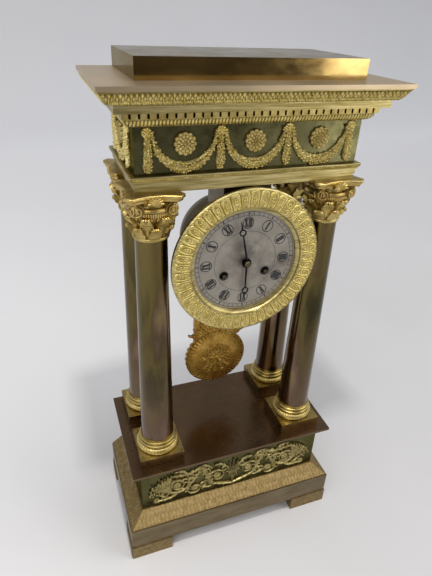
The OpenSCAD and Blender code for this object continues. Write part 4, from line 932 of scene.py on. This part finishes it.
def abacus_edge(pile, plane):
    """A fillet round the hollow-sided slab on top of the capital."""
    hollow = 4.0
    horn = 5.0
    chamfer = 39.5
    side_half = ABACUS_HALF - horn
    side_r = (side_half ** 2 + hollow ** 2) / (2 * hollow)
    y = np.linspace(-side_half, side_half, 24)
    x = ABACUS_HALF - hollow + side_r - np.sqrt(side_r ** 2 - y ** 2)
    corner = np.array([[ABACUS_HALF, chamfer - ABACUS_HALF], [chamfer - ABACUS_HALF, ABACUS_HALF]])
    quarter = np.concatenate([np.stack([x, y], axis=1), corner])
    quarters = []
    for k in range(4):
        c, s = heading(k * TURN / 4)
        quarters.append(quarter @ np.array([[c, s], [-s, c]]))
    outline = np.concatenate(quarters)
    out = outline / np.linalg.norm(outline, axis=1, keepdims=True)
    top = ABACUS_T - 0.1
    # How far each row stands out from the slab, and its height on it
    profile = [(-1.2, 0.1), (-1.2, 1.7), (-0.2, 2.3), (0.4, 2.6), (0.4, top), (-0.4, top)]
    rows = np.array([outline + step * out for step, _ in profile])
    heights = np.array([up for _, up in profile])[:, None] + BELL_H + ECHINUS_H
    pile.sheet(plane.place(rows[..., 0], rows[..., 1], heights), 0.0, closed=True)


def fleuron(pile, x, y, angle):
    """A fan of petals in the middle of one side of the abacus."""
    below = 1.5
    sunk = 2.0
    petal_thick = 1.2
    out = np.array([*heading(angle), 0])
    origin = np.array([x, y, CAPITAL_Z + BELL_H + ECHINUS_H - below]) + (ABACUS_HALF - sunk) * out
    plane = Plane(origin, (-out[1], out[0], 0))
    for turn in np.radians((-78, -52, -26, 0, 26, 52, 78)):
        line = np.linspace(0.6, 6.4, 10)[:, None] * clockwise(turn)
        leaf(pile, plane, line, 2.6, 2, petal_thick, across=5)
    medallion(pile, plane, (0, 0.8), 1.9, flower_height(1.9, 5, 4), rings=8, spokes=30)


def capital(pile, x, y):
    plane = level_plane(x, y, CAPITAL_Z)
    leaves = 8
    for k in range(leaves):
        acanthus(pile, plane, TURN * k / leaves, z_foot=3.4, z_top=13.2, r_tip=NECK_R + 5.9, width=10.2)
        acanthus(pile, plane, TURN * (k + 0.5) / leaves, z_foot=6, z_top=BELL_H + 1.6, r_tip=NECK_R + 7.9,
                 width=11.2)
    echinus_r = 4.2
    echinus = arc_profile(NECK_R + 1.6, BELL_H + echinus_r, echinus_r, -70, 75, 24)
    carve_round(pile, plane, echinus, count=68, amount=0.7, pattern=echinus_pattern, samples=8)
    for k in range(4):
        for side in SIDES:
            volute_cords(pile, x, y, TURN * k / 4, side)
        fleuron(pile, x, y, TURN * k / 4)
    abacus_edge(pile, plane)


def columns():
    torus_r = 3.5
    torus = arc_profile(SHAFT_FOOT_R + 1.2, torus_r, torus_r, -75, 85, 18)
    for sy, row in ((-1, "front"), (1, "rear")):
        for sx, end in ((-1, "left"), (1, "right")):
            x, y = sx * COLUMN_X, sy * COLUMN_Y
            crown = Pile()
            capital(crown, x, y)
            crown.build(f"capital_carving_{row}_{end}", "warm")
            foot = Pile()
            plane = level_plane(x, y, TURNED_Z)
            carve_round(foot, plane, torus, count=44, amount=0.4, pattern=laurel_pattern, samples=8)
            foot.build(f"torus_carving_{row}_{end}", "gilt")


# Entablature

# Least depth of a garland's bed, so the ground between its flowers is painted shade.
BED_SHADE = 0.7


def scatter(pile, plane, spots, halves, bed, reach, loose, jitter, sizes):
    """Flowers in rows of four over a garland's round bed, each moved a little by chance."""
    count = 4
    for spot, half in zip(spots, halves):
        for t in np.linspace(-reach, reach, count) + chance.uniform(-loose, loose, count):
            at = spot + t * half + chance.uniform(-jitter, jitter)
            size = chance.uniform(*sizes)
            floret(pile, plane, at, size, rise=chance.uniform(1.1, 1.7), base=bed * math.sqrt(1 - t * t))


def swag(pile, plane, middle):
    """A hanging garland of flowers, thick in its middle and thin at its knobs."""
    outer = np.array([24.6, 28.4])
    inner = np.array([21.4, 20.6])
    thin = 0.3
    bed = 1.7
    stations = 42
    angle = np.radians(np.linspace(180, 360, stations))
    way = np.stack([np.cos(angle), np.sin(angle)], axis=1)
    line = (middle, KNOB_UP) + way * (outer + inner) / 2
    taper = thin + (1 - thin) * dome(np.linspace(-1, 1, stations))
    across = way * (outer - inner) / 2 * taper[:, None]
    ribbon(pile, plane, line, 2 * np.linalg.norm(across, axis=1), bed, hollow=BED_SHADE)
    scatter(pile, plane, line, across, bed, reach=0.84, loose=0.08, jitter=np.array([0.65, 0.65]),
            sizes=(0.9, 1.6))


def drop(pile, plane, middle):
    """A hanging bunch, wider towards its round foot, under a flower knob."""
    foot = 2.6
    width = 6.8
    round_from = 0.82
    bed = 1.6
    stations = 19
    medallion(pile, plane, (middle, KNOB_UP), 3.9, flower_height(3.0, 9, 6), rings=14, spokes=72)
    line = np.stack([np.full(stations, middle), np.linspace(KNOB_UP, foot, stations)], axis=1)
    t = np.linspace(0, 1, stations)
    rounding = dome(np.clip((t - round_from) / (1 - round_from), 0, 1) * 0.9)
    widths = width * (0.5 + 0.5 * t) * rounding
    ribbon(pile, plane, line, widths, bed, hollow=BED_SHADE)
    across = widths[:, None] / 2 * (1, 0)
    scatter(pile, plane, line[1:], across[1:], bed, reach=0.8, loose=0.1, jitter=np.array([0.5, 0.6]),
            sizes=(0.9, 1.5))


def swag_row(pile, plane, count):
    for k in range(count):
        swag(pile, plane, (k - (count - 1) / 2) * SWAG_PITCH)
    for k in range(count + 1):
        drop(pile, plane, (k - count / 2) * SWAG_PITCH)


def rosette_height(rho, angle):
    """Three rings of small petals round a boss, all finely hatched."""
    petals = 12
    body_rise = 1.9
    petal_rise = 1.0
    outer = lobes(angle, petals, 0.5) * plateau(0.7, 0.78, 0.95, 1.0, rho)
    middle = lobes(angle, petals, 0.6, TURN / petals / 2) * plateau(0.42, 0.5, 0.7, 0.76, rho)
    inner = lobes(angle, 8, 0.6) * plateau(0.16, 0.22, 0.4, 0.45, rho)
    boss = smooth(0.18, 0.12, rho)
    hatch = 0.8 + 0.2 * np.cos(46 * rho) * np.cos(24 * angle)
    carved = np.maximum(np.maximum(outer, middle), np.maximum(inner, boss)) * hatch
    body = body_rise * smooth(1.0, 0.9, rho) * (1 - 0.25 * rho)
    # The ground between the petals gets depth, for painted shade.
    return body + petal_rise * carved, 1 - carved


def rosette_edge(angle):
    return 7.9 + 0.7 * lobes(angle, 12)


def frieze():
    ends = [end_plane(side, FRIEZE_HALF, 0, FRIEZE_Z) for side in SIDES]
    face = front_plane(-FRIEZE_FRONT, 0, FRIEZE_Z)
    pile = Pile()
    swag_row(pile, face, 3)
    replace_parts(pile.build("front_garlands", "garland"), "frieze_swag_front")
    pile = Pile()
    for plane in ends:
        swag_row(pile, plane, 1)
    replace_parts(pile.build("end_garlands", "garland"), "frieze_swag_sides")
    pile = Pile()
    rosette_up = 21.0
    places = [(face, -SWAG_PITCH), (face, 0), (face, SWAG_PITCH), (ends[0], 0), (ends[1], 0)]
    for plane, across in places:
        medallion(pile, plane, (across, rosette_up), rosette_edge, rosette_height, rings=40, spokes=192)
    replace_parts(pile.build("frieze_flowers", "gilt"), "frieze_rosettes")


def cornice():
    pile = Pile()
    egg_out = 5.4
    egg_h = 4.8
    fillet = 0.6
    t = np.radians(np.linspace(6, 88, 14))
    eggs = np.stack([fillet + egg_out * np.sin(t), EGG_Z + fillet + egg_h * (1 - np.cos(t))], axis=1)
    carve_moulding(pile, eggs, TOP_BLOCK, pitch=2.45, amount=0.8, pattern=egg_pattern, step=0.22)
    cyma = bezier((14.5, CYMA_Z + 0.3), (19.5, CYMA_Z + 0.6),
                  (20, TOP_PLATE_Z - 4), (22.4, TOP_PLATE_Z - 1.1), 22)
    carve_moulding(pile, cyma, TOP_BLOCK, pitch=6.6, amount=1.5, pattern=acanthus_pattern, step=0.25)
    crown = bezier((2.5, FRIEZE_Z - 4.0), (2.5, FRIEZE_Z - 2.8),
                   (3.7, FRIEZE_Z - 3.0), (4.0, FRIEZE_Z - 1.1), 10)
    carve_moulding(pile, crown, TOP_BLOCK, pitch=2.6, amount=0.3, pattern=acanthus_pattern, step=0.4)
    pile.build("cornice_carving", "bezel")


# Clock

def bezel_carving():
    pile = Pile()
    profile = bezier((BEZEL_R - 1.0, 3.1), (BEZEL_R - 5.8, 3.9),
                     (OPENING_R + 7.6, 3.9), (OPENING_R + 4.0, 3.2), 40)
    plane = front_plane(BEZEL_Y, 0, DIAL_Z)
    carve_round(pile, plane, profile, count=45, amount=1.1, pattern=palmette_pattern, samples=28)
    pile.build("bezel_carving", "bezel")


def stroke(pile, plane, start, stop, width):
    """A flat bar between two points of a plane."""
    start, stop = np.array(start, float), np.array(stop, float)
    ahead = (stop - start) / np.linalg.norm(stop - start)
    side = np.array([-ahead[1], ahead[0]]) * width / 2
    corners = np.array([[start + side, start - side], [stop + side, stop - side]])
    pile.sheet(plane.place(corners[..., 0], corners[..., 1], 0.0))


def numeral(pile, plane, word):
    """A Roman numeral with thick and thin strokes between two serif lines."""
    high = 3.5
    thick = 1.65
    thin = 0.72
    serif = 0.6
    widest = 7.0
    advance = {"I": 1.75, "V": 3.7, "X": 3.7}
    # Each letter's strokes: where the head and the foot lie, in arms from its middle, and the width
    strokes = {"I": [(0, 0, thick)],
               "V": [(-1, 0, thick), (1, 0, thin)],
               "X": [(-1, 1, thick), (1, -1, thin)]}
    wide = sum(advance[letter] for letter in word)
    squeeze = min(1.0, widest / wide)
    pen = -wide / 2
    for letter in word:
        middle = pen + advance[letter] / 2
        arm = (advance[letter] - thick) / 2
        pen += advance[letter]
        for head, foot, width in strokes[letter]:
            start = ((middle + head * arm) * squeeze, high)
            stop = ((middle + foot * arm) * squeeze, -high)
            stroke(pile, plane, start, stop, width * squeeze)
    reach = squeeze * (wide / 2 - 0.1)
    for up in (-high, high):
        stroke(pile, plane, (-reach, up), (reach, up), serif)


def ring(pile, plane, r_low, r_high, centre=(0, 0), stretch=1.0, n=48):
    """A flat ring, round unless stretched along the plane's up."""
    angle = around(n)
    r = np.array([r_low, r_high])[:, None]
    across = centre[0] + r * np.cos(angle)
    up = centre[1] + stretch * r * np.sin(angle)
    pile.sheet(plane.place(across, up, 0.0), closed=True)


def dial_marks():
    pile = Pile()
    proud = 0.03
    track_in = 40.9
    track_out = 43.9
    inner_r = 27.4
    numeral_r = 34.6
    hour_mark = 0.9
    minute_mark = 0.4
    face = front_plane(DIAL_Y - proud, 0, DIAL_Z)
    for r, width in ((track_out, 0.34), (track_in, 0.34), (inner_r, 0.3)):
        ring(pile, face, r - width / 2, r + width / 2, n=180)
    for minute in range(60):
        way = clockwise(TURN * minute / 60)
        stroke(pile, face, track_in * way, track_out * way, hour_mark if minute % 5 == 0 else minute_mark)
    words = ["XII", "I", "II", "III", "IIII", "V", "VI", "VII", "VIII", "IX", "X", "XI"]
    for hour, word in enumerate(words):
        swing = TURN * hour / 12
        up = (math.sin(swing), 0, math.cos(swing))
        right = (math.cos(swing), 0, -math.sin(swing))
        spot = (numeral_r * up[0], DIAL_Y - proud, DIAL_Z + numeral_r * up[2])
        plate = Plane(spot, right, up)
        numeral(pile, plate, word)
        ring(pile, plate, 4.1, 4.8, stretch=1.1)
    for at in WIND_AT:
        ring(pile, face, 3.3, 4.3, at)
    pile.build("dial_marks", "ink")


# Pendulum

BOB_RAYS = 48


def bob_height(rho, angle):
    """A sunburst: long petals at the rim, a ring of curled leaves and a rosette."""
    sunk = 0.2
    relief = 1.1
    body = 4.5 - 2.3 * smooth(0.4, 0.95, rho)
    split = 0.75 + 0.25 * lobes(angle, 2 * BOB_RAYS)
    outer = lobes(angle, BOB_RAYS, 0.7) * split * plateau(0.72, 0.78, 0.94, 1.0, rho)
    leaves = lobes(angle, 16, 0.6) * plateau(0.26, 0.32, 0.68, 0.74, rho)
    curls = 0.6 + 0.4 * np.cos(40 * rho + 3 * np.cos(16 * angle))
    rose = lobes(angle, 8, 0.6, 0.1) * smooth(0.27, 0.22, rho)
    boss = smooth(0.1, 0.05, rho)
    carved = np.maximum(np.maximum(outer, leaves * curls), np.maximum(0.8 * rose, boss))
    # The ground between the relief gets depth, for painted shade.
    return body + relief * carved - sunk, 1 - carved


def bob_edge(angle):
    notch = 0.4
    return BOB_R - notch + notch * lobes(angle, BOB_RAYS)


def pendulum():
    pile = Pile()
    plane = front_plane(PENDULUM_Y, 0, BOB_Z)
    medallion(pile, plane, (0, 0), bob_edge, bob_height, rings=60, spokes=576)
    pile.build("bob_carving", "amber", "pendulum")
    crest = Pile()
    base = 2.1
    root_r = BOB_R * 1.03
    for turn in (-64, -48, -32, -16, 0, 16, 32, 48, 64):
        lean = math.radians(turn)
        length = 33 - 0.19 * abs(turn)
        start = root_r * clockwise(0.55 * lean)
        stop = start + 0.62 * length * clockwise(0.9 * lean)
        line = bezier(start, start + (0, 5), stop - (0, 6), stop, 20)
        leaf(crest, plane, line, 5.0, 4, 1.5, base=base, veins=4)
    for side in SIDES:
        medallion(crest, plane, (side * 23, 29.4), 3.3, flower_height(1.6, 5, 4, base), rings=10, spokes=50)
    crest.build("crest_carving", "amber", "pendulum")


# Floor, light and camera, in metres, where along() still takes millimetres

def stage():
    """A floor that bends up into a wall behind the clock, painted paler to the back and to the left as
    painted light.
    """
    half = 6.0
    bend = 1.5
    wall = 3.5
    front = -1.6
    turn = np.radians(np.linspace(-90, 0, 24))
    cove = [(wall - bend + bend * math.cos(a), bend + bend * math.sin(a)) for a in turn]
    line = [(front, 0.0), *cove, (wall, half)]
    points = [(x, y, z) for y, z in line for x in (-half, half)]
    faces = [(2 * i, 2 * i + 1, 2 * i + 3, 2 * i + 2) for i in range(len(line) - 1)]
    mesh = bpy.data.meshes.new("floor")
    mesh.from_pydata(points, [], faces)
    mesh.shade_smooth()
    material, tree, shader = shade_tree("floor")
    # Painted light: the floor is darker near the clock and paler to the back and to the left.
    near = ramp(tree, noise(tree, 3.0), [(0.3, (0.515, 0.513, 0.52)), (0.7, (0.555, 0.553, 0.56))])
    far = ramp(tree, noise(tree, 1.0), [(0.3, (0.90, 0.905, 0.925)), (0.7, (0.93, 0.935, 0.955))])
    pale = (0.97, 0.968, 0.975)
    colour = blend(tree, along(tree, "Y", 0.0, 1600.0), near, far)
    colour = blend(tree, along(tree, "X", 100.0, -1000.0), colour, pale)
    tree.links.new(colour, shader.inputs["Base Color"])
    shader.inputs["Roughness"].default_value = 0.7
    mesh.materials.append(material)
    floor = add_object("floor", mesh)


def light_world():
    """A white room that metal mirrors as darker towards the front; seen itself, it is pale all round."""
    to_front = (0.05, -0.99, 0.1)
    pale = (0.72, 0.73, 0.75)
    world = bpy.data.worlds.new("room")
    bpy.context.scene.world = world
    world.use_nodes = True
    tree = world.node_tree
    where = add_node(tree, "ShaderNodeTexCoord").outputs["Generated"]
    front = add_node(tree, "ShaderNodeVectorMath", [(0, where), (1, to_front)], operation="DOT_PRODUCT")
    colour = ramp(tree, front.outputs["Value"], [(0.6, (0.80, 0.81, 0.84)), (0.85, (0.10, 0.085, 0.07))])
    seen = add_node(tree, "ShaderNodeLightPath").outputs["Is Camera Ray"]
    back = tree.nodes["Background"]
    tree.links.new(blend(tree, seen, colour, pale), back.inputs["Color"])
    back.inputs["Strength"].default_value = 0.9
    bpy.context.scene.view_settings.view_transform = "Standard"


CLOCK_MIDDLE = (0.0, 0.0, 0.25)

# Each light's name, place, target, size and power in watts
LIGHTS = [
    ("left light", (-1.0, -1.1, 1.5), CLOCK_MIDDLE, (1.1, 1.1), 10.5),
    ("right light", (1.3, -0.7, 1.4), CLOCK_MIDDLE, (1.1, 1.1), 10.5),
    ("right card", (0.95, -1.15, 0.3), CLOCK_MIDDLE, (0.35, 0.6), 2.4),
    ("lamp above", (-0.07, -0.22, 1.07), (-0.07, 0.1, 0.0), (0.05, 0.05), 4.2),
]


def lights():
    warm = (1.0, 0.97, 0.93)
    for name, place, target, size, power in LIGHTS:
        data = bpy.data.lights.new(name, "AREA")
        data.shape = "RECTANGLE"
        data.size, data.size_y = size
        data.energy = power
        data.color = warm
        lamp = add_object(name, data)
        lamp.rotation_euler = (Vector(place) - Vector(target)).to_track_quat("Z", "Y").to_euler()
        lamp.location = place


def camera():
    data = bpy.data.cameras.new("camera")
    data.sensor_width = 36.0
    data.lens = 29.472
    data.clip_start = 0.01
    thing = add_object("camera", data)
    right = (0.940439, -0.33763, 0.03977)
    up = (0.139819, 0.490755, 0.860006)
    back = (-0.309881, -0.803222, 0.508732)
    place = (-0.147448, -0.360435 + GRID_Y * MM, 0.506695)
    turn = Matrix((right, up, back)).transposed().to_4x4()
    thing.matrix_world = Matrix.Translation(place) @ turn
    bpy.context.scene.camera = thing


paint_nodes()
slope_and_feet()
scroll_mount()
columns()
frieze()
cornice()
bezel_carving()
dial_marks()
pendulum()
stage()
light_world()
lights()
camera()
